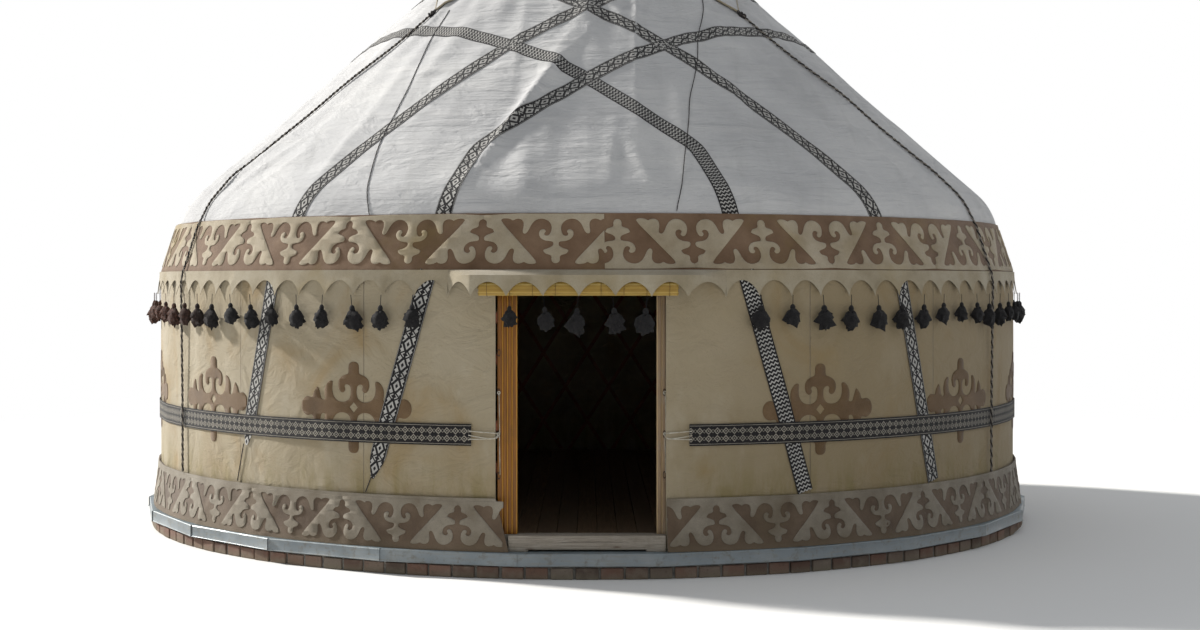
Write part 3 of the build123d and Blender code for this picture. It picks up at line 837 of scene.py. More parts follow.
def felt_finish(name, deep, mid, pale, stain, mud_level=None):
    """Thick wool felt: matted fibres, faded patches, and mud near the ground."""
    material, tree, shader = new_finish(name, 0.97, sheen=0.2)
    where = place_in(tree)
    cloud = mottle(tree, where, 5, 6, 0.6)
    felt = tones(tree, cloud, (0.3, deep), (0.5, mid), (0.72, pale))
    fibre = mottle(tree, where, 120, 4, 0.7, 1.5)
    felt = stained(tree, felt, fibre, (0.45, 0.72), 0.4, [c * 0.6 for c in mid])
    blot = mottle(tree, place_in(tree, shift=(4, 1, 2)), 1.7, 5, 0.6)
    felt = stained(tree, felt, blot, (0.5, 0.7), 0.6, stain)
    if mud_level:
        height = part_of(tree, where, "Z")
        splash = plus(tree, height, times(tree, cloud, 0.1))
        muddy = spread_out(tree, splash, mud_level, mud_level - 0.12, 0, 0.75)
        felt = layered(tree, muddy, felt, (0.19, 0.15, 0.095))
    coloured(tree, shader, felt)
    raised(tree, shader, (cloud, 0.006), (fibre, 0.0022))
    return material


ornament_brown = felt_finish(
    "brown_felt", (0.088, 0.053, 0.025), (0.132, 0.081, 0.04), (0.176, 0.114, 0.062), (0.106, 0.066, 0.025)
)
horn_quarter = [
    (16, 257), (28, 246), (32, 228), (31, 206), (34, 190), (52, 184), (74, 174), (90, 156),
    (96, 132), (92, 104), (80, 86), (66, 82), (54, 92), (52, 106), (58, 118), (50, 130), (34, 130),
    (20, 118), (17, 96), (18, 70), (26, 48), (44, 34), (70, 28), (98, 34), (120, 52), (132, 80),
    (134, 112), (130, 140), (136, 150), (154, 146), (172, 126), (182, 98), (182, 66), (176, 44),
    (190, 36), (206, 44), (212, 70), (222, 98), (230, 114), (244, 98), (258, 76), (264, 52),
    (276, 50), (300, 56), (322, 44), (335, 24),
]
figure_stretch = 1.1
figure_top, figure_side = 0.259, 0.372
horn_quarter = [(figure_stretch * x / 1000, y / 1000) for x, y in horn_quarter]
right_side = [(0, figure_top), *horn_quarter, (figure_side, 0)]
right_side += [(x, -y) for x, y in horn_quarter[::-1]] + [(0, -figure_top)]
figure = right_side + [(-x, y) for x, y in right_side[-2:0:-1]]
hole = [(0, 0.03), (0.028, 0), (0, -0.03), (-0.028, 0)]
flat_figure = cut_felt("horn_figure", [rounded(figure, 1), hole], 0.004, 0.045)
ornament_level = 0.905
left_rise = 0.01
figures_a_side = 7
first_figure_turn, figure_turn = 26.5, 23.6
sewn_lift = 0.0016
figures = []
for side in (-1, 1):
    for number in range(figures_a_side):
        middle = side * (first_figure_turn + figure_turn * number)
        level = ornament_level + (left_rise if side < 0 else 0.0)

        def on_wall(x, y, z):
            azimuth = middle + np.degrees(x / wall_face)
            return turned_out(azimuth, wall_out(azimuth, level + y) + sewn_lift + z, level + y)

        figures.append(laid(flat_figure, on_wall, "figure"))
bpy.data.objects.remove(flat_figure)
ornaments = joined(figures, "wall_ornaments")
settled(ornaments, ornament_brown, 50)


# Roof covers. Six lengths of felt faced with white canvas lie over the poles from the eave to
# the crown; the canvas is seamed, greyed by dust and creased where it goes over the shoulder.
eave_face = 2.955
roof_lean = radians(72)
roof_slope = radians(42)
shoulder_radius = 0.4
lean_length = 0.3466
crown_radius = 0.65
slope_length = 2.8058
roof_length = lean_length + shoulder_radius * (roof_lean - roof_slope) + slope_length


def roof_section(along):
    """Radius, height and tilt of the roof's outer face at a distance up from the eave."""
    tilt = roof_lean - np.clip((along - lean_length) / shoulder_radius, 0, roof_lean - roof_slope)
    on_lean = np.minimum(along, lean_length)
    on_slope = np.maximum(along - lean_length - shoulder_radius * (roof_lean - roof_slope), 0)
    radius = eave_face - on_lean * cos(roof_lean) - on_slope * cos(roof_slope)
    radius = radius - shoulder_radius * (sin(roof_lean) - np.sin(tilt))
    height = eave_level + on_lean * sin(roof_lean) + on_slope * sin(roof_slope)
    height = height + shoulder_radius * (np.cos(tilt) - cos(roof_lean))
    return radius, height, tilt


roof_ridges = chance_ridges(130, (0.5, 3.0), (-0.3, 0.3), (0.02, 0.12), (0.2, 1.0), (0.003, 0.013))
roof_ridges += [
    (-11, 1.1, 0.32, 0.03, 0.8, 0.028), (-8, 1.5, 0.25, 0.05, 1.0, 0.018),
    (-52, 0.75, 0.5, 0.03, 0.28, 0.02), (-57, 0.8, 0.4, 0.035, 0.3, 0.02),
    (-62, 0.8, 0.35, 0.035, 0.35, 0.022), (-68, 0.75, 0.3, 0.03, 0.3, 0.016),
    (-47, 0.7, 0.6, 0.022, 0.22, 0.011), (24, 1.5, -0.3, 0.03, 0.6, 0.009),
    (48, 1.0, -0.4, 0.03, 0.5, 0.01), (3, 0.8, 0.1, 0.03, 0.35, 0.008),
]


def roof_lift(azimuth, along):
    """How far the canvas stands off its smooth line."""
    radius = roof_section(along)[0]
    free = np.clip((along - 0.3) / 0.25, 0, 1)
    drawn = 0.0012 + 0.0022 * (1 + np.cos(2 * pi * azimuth / pole_turn)) * (0.3 + 0.7 * free)
    return drawn + free * ridges_at(azimuth, along, radius, roof_ridges)


def roof_points(azimuth, along, lift=0.0):
    """Points on the roof canvas, or lifted off it."""
    radius, height, tilt = roof_section(along)
    out = lift + roof_lift(azimuth, along)
    return turned_out(azimuth, radius + out * np.sin(tilt), height + out * np.cos(tilt))


roof_canvas, tree, shader = new_finish("white_canvas", 0.93, sheen=0.12)
where = place_in(tree)
flat = place_in(tree, source="UV")
cloud = mottle(tree, where, 1.3, 6, 0.6)
canvas = tones(
    tree, cloud, (0.32, (0.4, 0.4, 0.405)), (0.5, (0.49, 0.49, 0.492)), (0.7, (0.56, 0.557, 0.55))
)
streak = mottle(tree, place_in(tree, (3.2, 0.5, 1), source="UV"), 1.8, 6, 0.65, 0.5)
canvas = stained(tree, canvas, streak, (0.5, 0.72), 0.4, (0.39, 0.39, 0.385))
# Lighter bands across the canvas where the same noise raises the cross creases: a painted highlight on
# their crests.
cross = mottle(tree, place_in(tree, (0.5, 5, 1), source="UV"), 2.2, 5, 0.6, 0.4)
canvas = stained(tree, canvas, cross, (0.5, 0.72), 0.35, (0.62, 0.61, 0.595))
speck = mottle(tree, where, 30, 6, 0.7)
canvas = stained(tree, canvas, speck, (0.57, 0.75), 0.35, (0.36, 0.35, 0.33))
coloured(tree, shader, canvas)
creases = mottle(tree, place_in(tree, (1.1, 2.4, 1), source="UV"), 2.2, 7, 0.58, 0.5)
raised(
    tree, shader, (creases, 0.032), (cross, 0.02), (speck, 0.0018), (weave_bump(tree, flat, 140), 0.00015)
)
steps = np.concatenate([
    np.linspace(0.002, 0.33, 6), np.linspace(0.345, 0.62, 14), np.linspace(0.66, roof_length, 60)
])
for cover, begin, end in covers:
    azimuth, along = np.meshgrid(np.linspace(begin, end, 81), steps)
    points = roof_points(azimuth, along)
    across = np.radians(azimuth) * roof_section(along)[0]
    roof_piece = cloth(f"roof_cover_{cover}", points, 0.012, across, along)
    settled(roof_piece, roof_canvas, 60)
    width = (end - begin) * arc
    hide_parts(f"roof_felt_{cover}")


# Woven straps. Four wool bands, cream with black lozenges and hooks, cross over the roof and
# come down the walls into the skirt; the two at the front left end in tied points above it.
strap_thickness = 0.0028
roof_strap_lift = 0.0032
wall_strap_lift = 0.0068
table = np.linspace(0, roof_length, 400)
table_radius, table_height, _ = roof_section(table)


def azimuth_of(x, y):
    """Azimuth in degrees from the doorway, to the right."""
    return np.degrees(np.arctan2(x, -y))


def along_at(radius):
    """Distance up the roof at a radius."""
    return np.interp(-radius, -table_radius, table)


def roof_place(azimuth, height):
    """The point of the smooth roof at an azimuth and a height."""
    return turned_out(azimuth, np.interp(height, table_height, table_radius), height)


def drawn_tight(begin, end):
    """Azimuths and distances up the roof of a band pulled straight between two points."""
    steps = max(int(np.linalg.norm(end - begin) / 0.03), 4)
    share = np.linspace(0, 1, steps, endpoint=False)[:, None]
    line = begin + (end - begin) * share
    middle = (begin + end) / 2
    outward = np.array([middle[0], middle[1], 0]) / np.hypot(middle[0], middle[1])
    outward = outward * sin(roof_slope) + np.array([0, 0, cos(roof_slope)])
    low, high = np.full(steps, -0.05), np.full(steps, 0.9)
    for _ in range(30):
        half = (low + high) / 2
        spot = line + outward * half[:, None]
        radius = np.hypot(spot[:, 0], spot[:, 1])
        inside = spot[:, 2] < np.interp(-radius, -table_radius, table_height)
        low, high = np.where(inside, half, low), np.where(inside, high, half)
    return azimuth_of(spot[:, 0], spot[:, 1]), along_at(radius)


def unit(vectors):
    """Vectors of length one in the same directions."""
    return vectors / np.linalg.norm(vectors, axis=1)[:, None]


def run_along(points):
    """Distance along a line at each of its points."""
    return np.concatenate([[0], np.cumsum(np.linalg.norm(np.diff(points, axis=0), axis=1))])


def smoothed(line, times_over):
    """A line of points eased between its ends."""
    for _ in range(times_over):
        line[1:-1] = (line[:-2] + 2 * line[1:-1] + line[2:]) / 4
    return line


def band_on(name, centre, width, place, outward_at):
    """A woven band along a centre line of points; place maps points back on to the cover."""
    side = unit(np.cross(unit(np.gradient(centre, axis=0)), outward_at))
    length = run_along(centre)
    offsets = np.linspace(-0.5, 0.5, 5)
    across = offsets[:, None] * width * np.ones_like(length)
    along = np.zeros_like(across) + length
    rows = centre[None] + side[None] * across[..., None]
    strip = cloth(name, place(rows)[::-1], strap_thickness, along[::-1], across[::-1])
    return strip, length[-1]


def roof_at(points):
    """The strap's face over the roof canvas, at the points' azimuths and radii."""
    x, y, _ = np.moveaxis(points, -1, 0)
    return roof_points(azimuth_of(x, y), along_at(np.hypot(x, y)), roof_strap_lift)


def wall_at(points):
    """The strap's face over the wall cover, at the points' azimuths and heights."""
    x, y, height = np.moveaxis(points, -1, 0)
    azimuth = azimuth_of(x, y)
    return turned_out(azimuth, wall_out(azimuth, height) + wall_strap_lift, height)


def every(tree, value, period, shift=0.0):
    """Distance from the middle of each repeat: 0 in its middle, 1 at its ends."""
    turns = plus(tree, maths(tree, "DIVIDE", value, period), shift)
    part = maths(tree, "SUBTRACT", maths(tree, "FRACT", turns), 0.5)
    return times(tree, size_of(tree, part), 2.0)


def inside_of(tree, value, limit):
    """1 where a value is under a limit."""
    return maths(tree, "LESS_THAN", value, limit)


def between(tree, value, low, high):
    return times(tree, inside_of(tree, value, high), maths(tree, "GREATER_THAN", value, low))


def either(tree, first, *others):
    for other in others:
        first = maths(tree, "MAXIMUM", first, other)
    return first


def lozenge_pattern(tree, along, out, half_width, period):
    """1 where the weave is black: toothed borders, ringed lozenges and hooks between them."""
    offset = maths(tree, "DIVIDE", out, half_width)
    step = every(tree, along, period)
    lozenge = plus(tree, times(tree, step, 1.1), times(tree, offset, 1.35))
    ring = between(tree, lozenge, 0.6, 1.04)
    heart = inside_of(tree, lozenge, 0.26)
    hook_step = every(tree, along, period, 0.5)
    hook = plus(tree, times(tree, hook_step, 1.9), times(tree, offset, 1.2))
    hooks = maths(tree, "MAXIMUM", inside_of(tree, hook, 0.42), between(tree, hook, 0.66, 0.98))
    teeth = every(tree, along, period / 5)
    tooth = maths(tree, "SUBTRACT", offset, times(tree, teeth, 0.2))
    border = maths(tree, "GREATER_THAN", tooth, 0.58)
    black = either(tree, ring, heart, hooks, border)
    edge = between(tree, offset, 0.93, 0.97)
    return maths(tree, "SUBTRACT", black, edge, clamp=True)


def zigzag_pattern(tree, along, out, half_width, period):
    """1 where the weave is black: close rows of zigzags between dark edges."""
    offset = maths(tree, "DIVIDE", out, half_width)
    wave = every(tree, out, half_width * 0.5)
    leaned = plus(tree, along, times(tree, wave, period * 0.5))
    rows = inside_of(tree, every(tree, leaned, period), 0.62)
    return either(tree, rows, maths(tree, "GREATER_THAN", offset, 0.86))


def woven_finish(name, pattern, half_width, period, light, dark):
    """Wool weave in two yarns, its pattern worked from the band's own flat map."""
    material, tree, shader = new_finish(name, 0.95, sheen=0.15)
    where = place_in(tree)
    flat = place_in(tree, source="UV")
    wobble = mottle(tree, where, 60, 3)
    shake = times(tree, maths(tree, "SUBTRACT", wobble, 0.5), 0.004)
    along = plus(tree, part_of(tree, flat, "X"), shake)
    out = size_of(tree, plus(tree, part_of(tree, flat, "Y"), shake))
    black = pattern(tree, along, out, half_width, period)
    grime = mottle(tree, where, 7, 5)
    yarn = tones(tree, grime, (0.35, [c * 0.75 for c in light]), (0.6, light))
    yarn = layered(tree, black, yarn, dark)
    coloured(tree, shader, yarn)
    raised(
        tree, shader, (weave_bump(tree, flat, 210), 0.0006), (black, 0.0008), (grime, 0.004)
    )
    return material


lozenge_weave = woven_finish(
    "lozenge_weave", lozenge_pattern, 0.05, 0.122, (0.47, 0.46, 0.435), (0.009, 0.008, 0.009)
)
zigzag_weave = woven_finish(
    "zigzag_weave", zigzag_pattern, 0.05, 0.024, (0.47, 0.46, 0.435), (0.009, 0.008, 0.009)
)
knot_level = 2.4
strap_width = 0.1
strap_foot = 0.445
strap_tips = (0.66, 0.52)
tip_length = 0.11
tip_width = 0.018
strap_head = eave_level - 0.004
# Of each strap: azimuths at the eave, at its knot and half way, the level half way, the azimuth
# and radius of its highest point, and the azimuth of its foot.
strap_routes = (
    (38.0, 33.0, 17.5, 3.06, -52.0, 1.14, 44.0),
    (17.3, 14.5, -6.5, 2.98, -55.0, 1.55, 24.5),
)
roof_straps = []
wall_straps = []
roof_run = wall_run = 0.0
for side in (-1, 1):
    for number, route in enumerate(strap_routes):
        eave_turn, knot_turn, mid_turn, mid_level, crown_turn, crown_pass, foot_turn = route
        crown_level = np.interp(-crown_pass, -table_radius, table_height)
        climb = [(eave_turn, eave_level + 0.002), (knot_turn, knot_level), (mid_turn, mid_level)]
        back = [(2 * crown_turn - turn, level) for turn, level in climb]
        stops = [
            roof_place(side * turn, level)
            for turn, level in climb + [(crown_turn, crown_level)] + back[::-1]
        ]
        pieces = [drawn_tight(begin, end) for begin, end in zip(stops, stops[1:])]
        azimuth = np.concatenate([piece[0] for piece in pieces])
        along = np.concatenate([piece[1] for piece in pieces])
        radius, height, tilt = roof_section(along)
        centre = smoothed(turned_out(azimuth, radius, height), 3)
        outward = turned_out(azimuth, np.sin(tilt), np.cos(tilt))
        strap, run = band_on("strap", centre, strap_width, roof_at, outward)
        pattern = zigzag_weave if side > 0 and number == 1 else lozenge_weave
        strap.data.materials.append(pattern)
        roof_straps.append(strap)
        roof_run += run
        for top, foot, tip in (
            (eave_turn, foot_turn, strap_tips[number] if side < 0 else strap_foot),
            (2 * crown_turn - eave_turn, 2 * crown_turn - foot_turn, strap_foot),
        ):
            height = np.linspace(strap_head, tip, 26)
            share = (strap_head - height) / (strap_head - strap_foot)
            azimuth = side * (top + (foot - top) * share)
            centre = turned_out(azimuth, wall_face, height)
            outward = turned_out(azimuth, 1.0, 0 * height)
            width = np.full(26, strap_width)
            if tip > strap_foot:
                width = np.interp(height, (tip, tip + tip_length), (tip_width, strap_width))
            strap, run = band_on("strap", centre, width, wall_at, outward)
            strap.data.materials.append(pattern)
            wall_straps.append(strap)
            wall_run += run
for name, pieces, run, node_name in (
    ("roof_straps_woven", roof_straps, roof_run, "roof_straps"),
    ("wall_straps_woven", wall_straps, wall_run, "wall_straps"),
):
    piece = joined(pieces, name)
    lone(piece)
    bpy.ops.object.shade_smooth_by_angle(angle=radians(50))
    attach(piece, "root")
    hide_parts(node_name)


# Frieze. Two lengths of thick brown felt, cut as one band, go round the lower roof and meet over
# the door; cream felt cut into mirrored ram's-horn scrolls is sewn on, upside down on the right.
scroll_quarter = [
    (0, 298), (10, 297), (20, 288), (24, 274), (22, 262), (26, 252), (40, 246), (56, 242), (66, 230),
    (70, 221), (58, 214), (40, 208), (24, 200), (16, 192), (14, 180), (18, 170), (34, 167),
    (58, 164), (80, 154), (94, 136), (97, 116), (90, 101), (76, 94), (63, 98), (58, 109),
    (66, 118), (66, 128), (56, 136), (42, 133), (32, 118), (27, 100), (26, 84), (30, 66), (42, 48),
    (60, 36), (84, 30), (108, 34), (128, 48), (142, 68), (152, 92), (162, 112), (174, 122),
    (186, 118), (190, 104), (186, 86), (184, 66), (188, 46), (200, 34), (218, 30), (236, 34),
    (246, 42), (258, 34), (276, 28), (300, 28), (316, 36), (308, 52), (282, 84), (250, 120),
    (210, 165.5),
]
scroll_mm = (840, 331)
scroll_half = scroll_quarter + [
    (scroll_mm[0] / 2 - x, scroll_mm[1] - y) for x, y in scroll_quarter[-2::-1]
]
scroll_line = scroll_half + [(scroll_mm[0] - x, y) for x, y in scroll_half[-2::-1]]
scroll_line = [(x / 1000, y / 1000) for x, y in scroll_line]
scroll_length, frieze_height = scroll_mm[0] / 1000, scroll_mm[1] / 1000
scroll_outline = scroll_line + [(scroll_length, frieze_height), (0.0, frieze_height)]
frieze_seam = 1.9
scroll_turn = 16.5
scroll_start = 11.6
band_lift = 0.0105
inlay_thickness = 0.004
band_edge = 0.004


def eased(outline):
    """The scroll with eased corners but with its two straight ends kept."""
    line = rounded(outline, 1)
    low, high = min(x for x, _ in outline), max(x for x, _ in outline)
    line[line[:, 0] < low + 0.002, 0] = low
    line[line[:, 0] > high - 0.002, 0] = high
    return line


def trimmed(piece, place, keep_left):
    """The piece cut off at one x, as the band's end is."""
    cut = {
        "plane_co": (place, 0, 0), "plane_no": (1, 0, 0), "use_fill": True,
        "clear_outer": keep_left, "clear_inner": not keep_left,
    }
    return worked(copied(piece, Matrix.Identity(4)), (bpy.ops.mesh.bisect, cut))


band_brown = felt_finish(
    "frieze_brown", (0.1, 0.058, 0.03), (0.148, 0.09, 0.053), (0.2, 0.13, 0.08), (0.15, 0.1, 0.03)
)
inlay_cream = felt_finish(
    "frieze_cream", (0.25, 0.2, 0.13), (0.325, 0.275, 0.195), (0.4, 0.345, 0.26), (0.25, 0.18, 0.06)
)
frieze_ridges = chance_ridges(
    160, (0.05, 0.28), (-0.5, 0.5), (0.012, 0.05), (0.05, 0.2), (0.0005, 0.0035)
)


def frieze_points(azimuth, along, lift):
    """The frieze hangs on the lean of the roof and gathers into small folds."""
    loose = ridges_at(azimuth, along, eave_face, frieze_ridges)
    return roof_points(azimuth, along, band_lift + lift + loose)


scroll = cut_felt("scroll", [eased(scroll_outline)], inlay_thickness, 0.06)
for side, half in ((-1, "left"), (1, "right")):
    ends = (-180.0, frieze_seam) if side < 0 else (frieze_seam, 180.0)
    azimuth, along = np.meshgrid(np.linspace(*ends, 260), np.linspace(0.0, frieze_height, 9))
    band = cloth(
        f"frieze_band_{half}", frieze_points(azimuth, along, 0.0), 0.005,
        azimuth * arc, along,
    )
    settled(band, band_brown, 50)
    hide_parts(f"frieze_{half}")
    # The scrolls run from the doorway to the back; the nearest and the last are cut short.
    scrolls = []
    for number in range(-1, 11):
        start = scroll_start + scroll_turn * number
        if side < 0:
            start = -start - scroll_turn
        begin, end = start, start + scroll_turn
        spare = max(ends[0] - begin, 0), max(end - ends[1], 0)
        if max(spare) >= scroll_turn:
            continue
        cut = None
        if spare[0] > 0.01:
            cut = trimmed(scroll, scroll_length * spare[0] / scroll_turn, False)
        elif spare[1] > 0.01:
            cut = trimmed(scroll, scroll_length * (1 - spare[1] / scroll_turn), True)

        def on_frieze(x, y, z):
            along = frieze_height - y if side > 0 else y
            along = band_edge + (frieze_height - 2 * band_edge) * along / frieze_height
            return frieze_points(start + x / scroll_length * scroll_turn, along, inlay_thickness / 2 + z)

        scrolls.append(laid(cut or scroll, on_frieze, "scroll_laid"))
        if cut:
            bpy.data.objects.remove(cut)
    inlay = joined(scrolls, f"frieze_scrolls_{half}")
    worked(inlay, outward_faces)
    settled(inlay, inlay_cream, 50)


# Valance. A strip of thin cream cloth sewn under the frieze, its lower edge cut into arches with
# pointed tips; over the door it is a piece of its own, drawn out in front of the rolled mat.
valance_face = 2.9755
valance_top = 1.694
valance_foot = 1.547
arch_turn = 3.75
arch_rise = 0.09
valance_cotton = felt_finish(
    "valance_cloth", (0.24, 0.2, 0.13), (0.315, 0.27, 0.19), (0.37, 0.33, 0.25), (0.25, 0.19, 0.085)
)


def arched_edge(share):
    """Height of the cut edge over its tips at a share of one arch."""
    bow = np.clip(np.sin(pi * (share % 1.0)), 0.0, 1.0)
    return arch_rise * bow**0.62


valance_ridges = chance_ridges(150, 1.56, (-0.4, 0.4), (0.02, 0.06), (0.04, 0.09), (-0.002, 0.008))
door_turn = 15.0
drop = np.linspace(0, 1, 7)[:, None]
for side, half in ((-1, "left"), (1, "right")):
    begin, end = (-180.0, -door_turn) if side < 0 else (door_turn, 180.0)
    azimuth = np.linspace(begin, end, int((end - begin) / arch_turn) * 18 + 1)[None, :]
    foot = valance_foot + arched_edge(azimuth / arch_turn)
    height = foot + (valance_top - foot) * (1 - drop[::-1])
    loose = ridges_at(azimuth, height, valance_face, valance_ridges)
    curl = 0.016 * (1 - (height - valance_foot) / (valance_top - valance_foot)) ** 2
    points = turned_out(azimuth, valance_face + curl + np.maximum(loose, -0.002), height)
    piece = cloth(f"valance_cloth_{half}", points, 0.003, azimuth * arc + 0 * height, height)
    settled(piece, valance_cotton, 50)
    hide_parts(f"valance_{half}")

# The door's own piece follows a line round the mat, with a sloping shoulder over it.
door_plan = np.array([
    (-0.772, -2.876), (-0.74, -2.91), (-0.69, -2.975), (-0.645, -3.02), (-0.61, -3.036),
    (-0.56, -3.037), (0.5, -3.037), (0.54, -3.036), (0.585, -3.02), (0.64, -2.985),
    (0.70, -2.93), (0.772, -2.876),
])
reach = run_along(door_plan)
run = np.linspace(0, reach[-1], 181)
plan_x = np.interp(run, reach, door_plan[:, 0])
plan_y = np.interp(run, reach, door_plan[:, 1])
sewn_half, sewn_radius = 0.77, 2.969
start_x = np.clip(plan_x, -sewn_half, sewn_half)
start_y = -np.sqrt(sewn_radius**2 - start_x**2)
door_arch = 0.188
shoulder_drop = 0.03
wave_length = 0.23
arches_along = np.interp(
    run, [0, reach[3] + 0.01, reach[7] + 0.012, reach[-1]], [-4.0, -3.0, 3.0, 4.0]
)
foot = valance_foot - 0.01 + arched_edge(arches_along)
rows = []
shoulder_shares, hanging_shares = (0.0, 0.33, 0.66, 1.0), (0.25, 0.5, 0.75, 0.9, 1.0)
for share in shoulder_shares:
    rows.append(np.stack([
        start_x + (plan_x - start_x) * share, start_y + (plan_y - start_y) * share,
        0 * run + valance_top - shoulder_drop * share**1.6,
    ], -1))
for share in hanging_shares:
    level = valance_top - shoulder_drop + (foot - valance_top + shoulder_drop) * share
    wave = 0.003 * share * np.sin(run * 2 * pi / wave_length)
    rows.append(np.stack([plan_x, plan_y - 0.002 * share - np.abs(wave), level], -1))
points = np.array(rows[::-1])
across, down = np.meshgrid(run, np.linspace(0.23, 0, len(rows))[::-1])
piece = cloth("valance_cloth_door", points, 0.003, across, down)
settled(piece, valance_cotton, 50)
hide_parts("door_valance")


# Tassels. Bunches of black wool bound under a knob and hung on a cord from every tip of the
# valance; the ones at the far left are coloured rust brown.
tassel_wool, tree, shader = new_finish("black_wool", 0.95, sheen=0.04)
where = place_in(tree)
far_side = spread_out(tree, part_of(tree, where, "X"), -2.2, -2.75)
fleck = mottle(tree, where, 90, 4, 0.7)
wool = tones(tree, fleck, (0.4, (0.006, 0.006, 0.007)), (0.75, (0.02, 0.018, 0.018)))
far_left_brown = tones(tree, fleck, (0.4, (0.03, 0.014, 0.01)), (0.7, (0.14, 0.06, 0.04)))
coloured(tree, shader, layered(tree, times(tree, far_side, 0.85), wool, far_left_brown))
strands = mottle(tree, place_in(tree, (1, 1, 0.12)), 260, 3, 0.6)
raised(tree, shader, (strands, 0.004), (fleck, 0.002))
# The tips are counted from the doorway; the one at the very back belongs to the right.
first_tip, last_tip = 5, 48
tassel_out = 0.036
door_middle, door_tassel_y = -0.048, -3.04
tassel_kinds = []
for seed in (1, 2, 3):
    tuft = made(bpy.ops.mesh.primitive_uv_sphere_add, segments=16, ring_count=9, radius=1)
    tuft.scale = (0.044, 0.038, 0.05)
    tuft.location = (0, 0, -0.128)
    bpy.ops.object.transform_apply(location=True, scale=True)
    bpy.ops.object.mode_set(mode="EDIT")
    bpy.ops.mesh.select_all(action="SELECT")
    bpy.ops.transform.vertex_random(offset=0.004, uniform=0.6, normal=0.6, seed=seed)
    for wisp in range(3):
        bpy.ops.mesh.select_all(action="DESELECT")
        bpy.ops.mesh.select_random(ratio=0.2, seed=seed * 7 + wisp)
        bpy.ops.transform.resize(value=(1.22, 1.22, 1.0), center_override=(0, 0, -0.12))
        bpy.ops.transform.translate(value=(0, 0, -0.008))
    bpy.ops.object.mode_set(mode="OBJECT")
    knob = made(
        bpy.ops.mesh.primitive_uv_sphere_add, segments=10, ring_count=6, radius=1,
        location=(0, 0, -0.072),
    )
    knob.scale = (0.017, 0.017, 0.02)
    bpy.ops.object.transform_apply(location=True, scale=True)
    string = made(
        bpy.ops.mesh.primitive_cylinder_add, vertices=6, radius=0.0021, depth=0.066,
        location=(0, 0, -0.03),
    )
    tassel_kinds.append(joined([tuft, knob, string], "tassel"))
next_kind = cycle((1, 2, 0))


def hung_tassel(x, y, level, turn):
    """One tassel under a tip, turned and sized a little by chance."""
    size = chance.uniform(0.86, 1.1)
    swing = Matrix.Rotation(radians(chance.uniform(-7, 7)), 4, "Y")
    matrix = Matrix.Translation((x, y, level)) @ Matrix.Rotation(radians(turn), 4, "Z") @ swing
    stretch = Matrix.Diagonal((size * chance.uniform(0.85, 1.1), size * 0.8, size, 1))
    return copied(tassel_kinds[next(next_kind)], matrix @ stretch)


for side, half in ((-1, "left"), (1, "right")):
    tassels = []
    for number in range(first_tip, last_tip + (side > 0)):
        azimuth = side * arch_turn * number
        x, y, _ = turned_out(azimuth, valance_face + tassel_out, 0.0)
        tassels.append(hung_tassel(x, y, valance_foot + 0.004, azimuth))
    bunch = settled(joined(tassels, f"wool_tassels_{half}"), tassel_wool, 60)
    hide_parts(f"tassels_{half}")
tassels = [
    hung_tassel(door_middle + door_arch * (number - 2), door_tassel_y, valance_foot - 0.006, 0)
    for number in range(5)
]
bunch = settled(joined(tassels, "wool_tassels_door"), tassel_wool, 60)
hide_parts("door_tassels")
for kind in tassel_kinds:
    bpy.data.objects.remove(kind)


# Skirt. Heavy brown felt round the foot of the wall, pushed out over the metal edging, with the
# same scrolls in cream and a cream hem; rain and mud have stained and crumpled it.
skirt_head = 0.432
skirt_foot = 0.1435
skirt_scrolls = 26
mud_top = 0.26
hem_width = 0.026
skirt_lift = 0.0155
skirt_near = 2.979
skirt_spread = 0.035
scroll_foot_gap, scroll_head_gap = 0.006, 0.02
skirt_turn = 360 / skirt_scrolls
skirt_brown = felt_finish(
    "skirt_brown", (0.075, 0.05, 0.032), (0.115, 0.08, 0.053), (0.165, 0.12, 0.083),
    (0.12, 0.09, 0.052), mud_top,
)
skirt_cream = felt_finish(
    "skirt_cream", (0.15, 0.122, 0.086), (0.21, 0.182, 0.14), (0.275, 0.245, 0.195),
    (0.125, 0.097, 0.06), mud_top,
)
skirt_ridges = chance_ridges(240, (0.16, 0.42), (-0.9, 0.9), (0.015, 0.06), (0.04, 0.2), (0.001, 0.008))


def skirt_points(azimuth, height, lift):
    """The skirt's outer face: close to the wall at its head, pushed out at its foot."""
    down = np.clip((skirt_head - height) / (skirt_head - skirt_foot), 0, 1)
    hung = wall_out(azimuth, height) + skirt_lift
    pushed = skirt_near + skirt_spread * down**1.3
    loose = ridges_at(azimuth, height, 2.98, skirt_ridges) * (0.35 + 0.65 * down)
    return turned_out(azimuth, np.maximum(hung, pushed) + loose + lift, height)


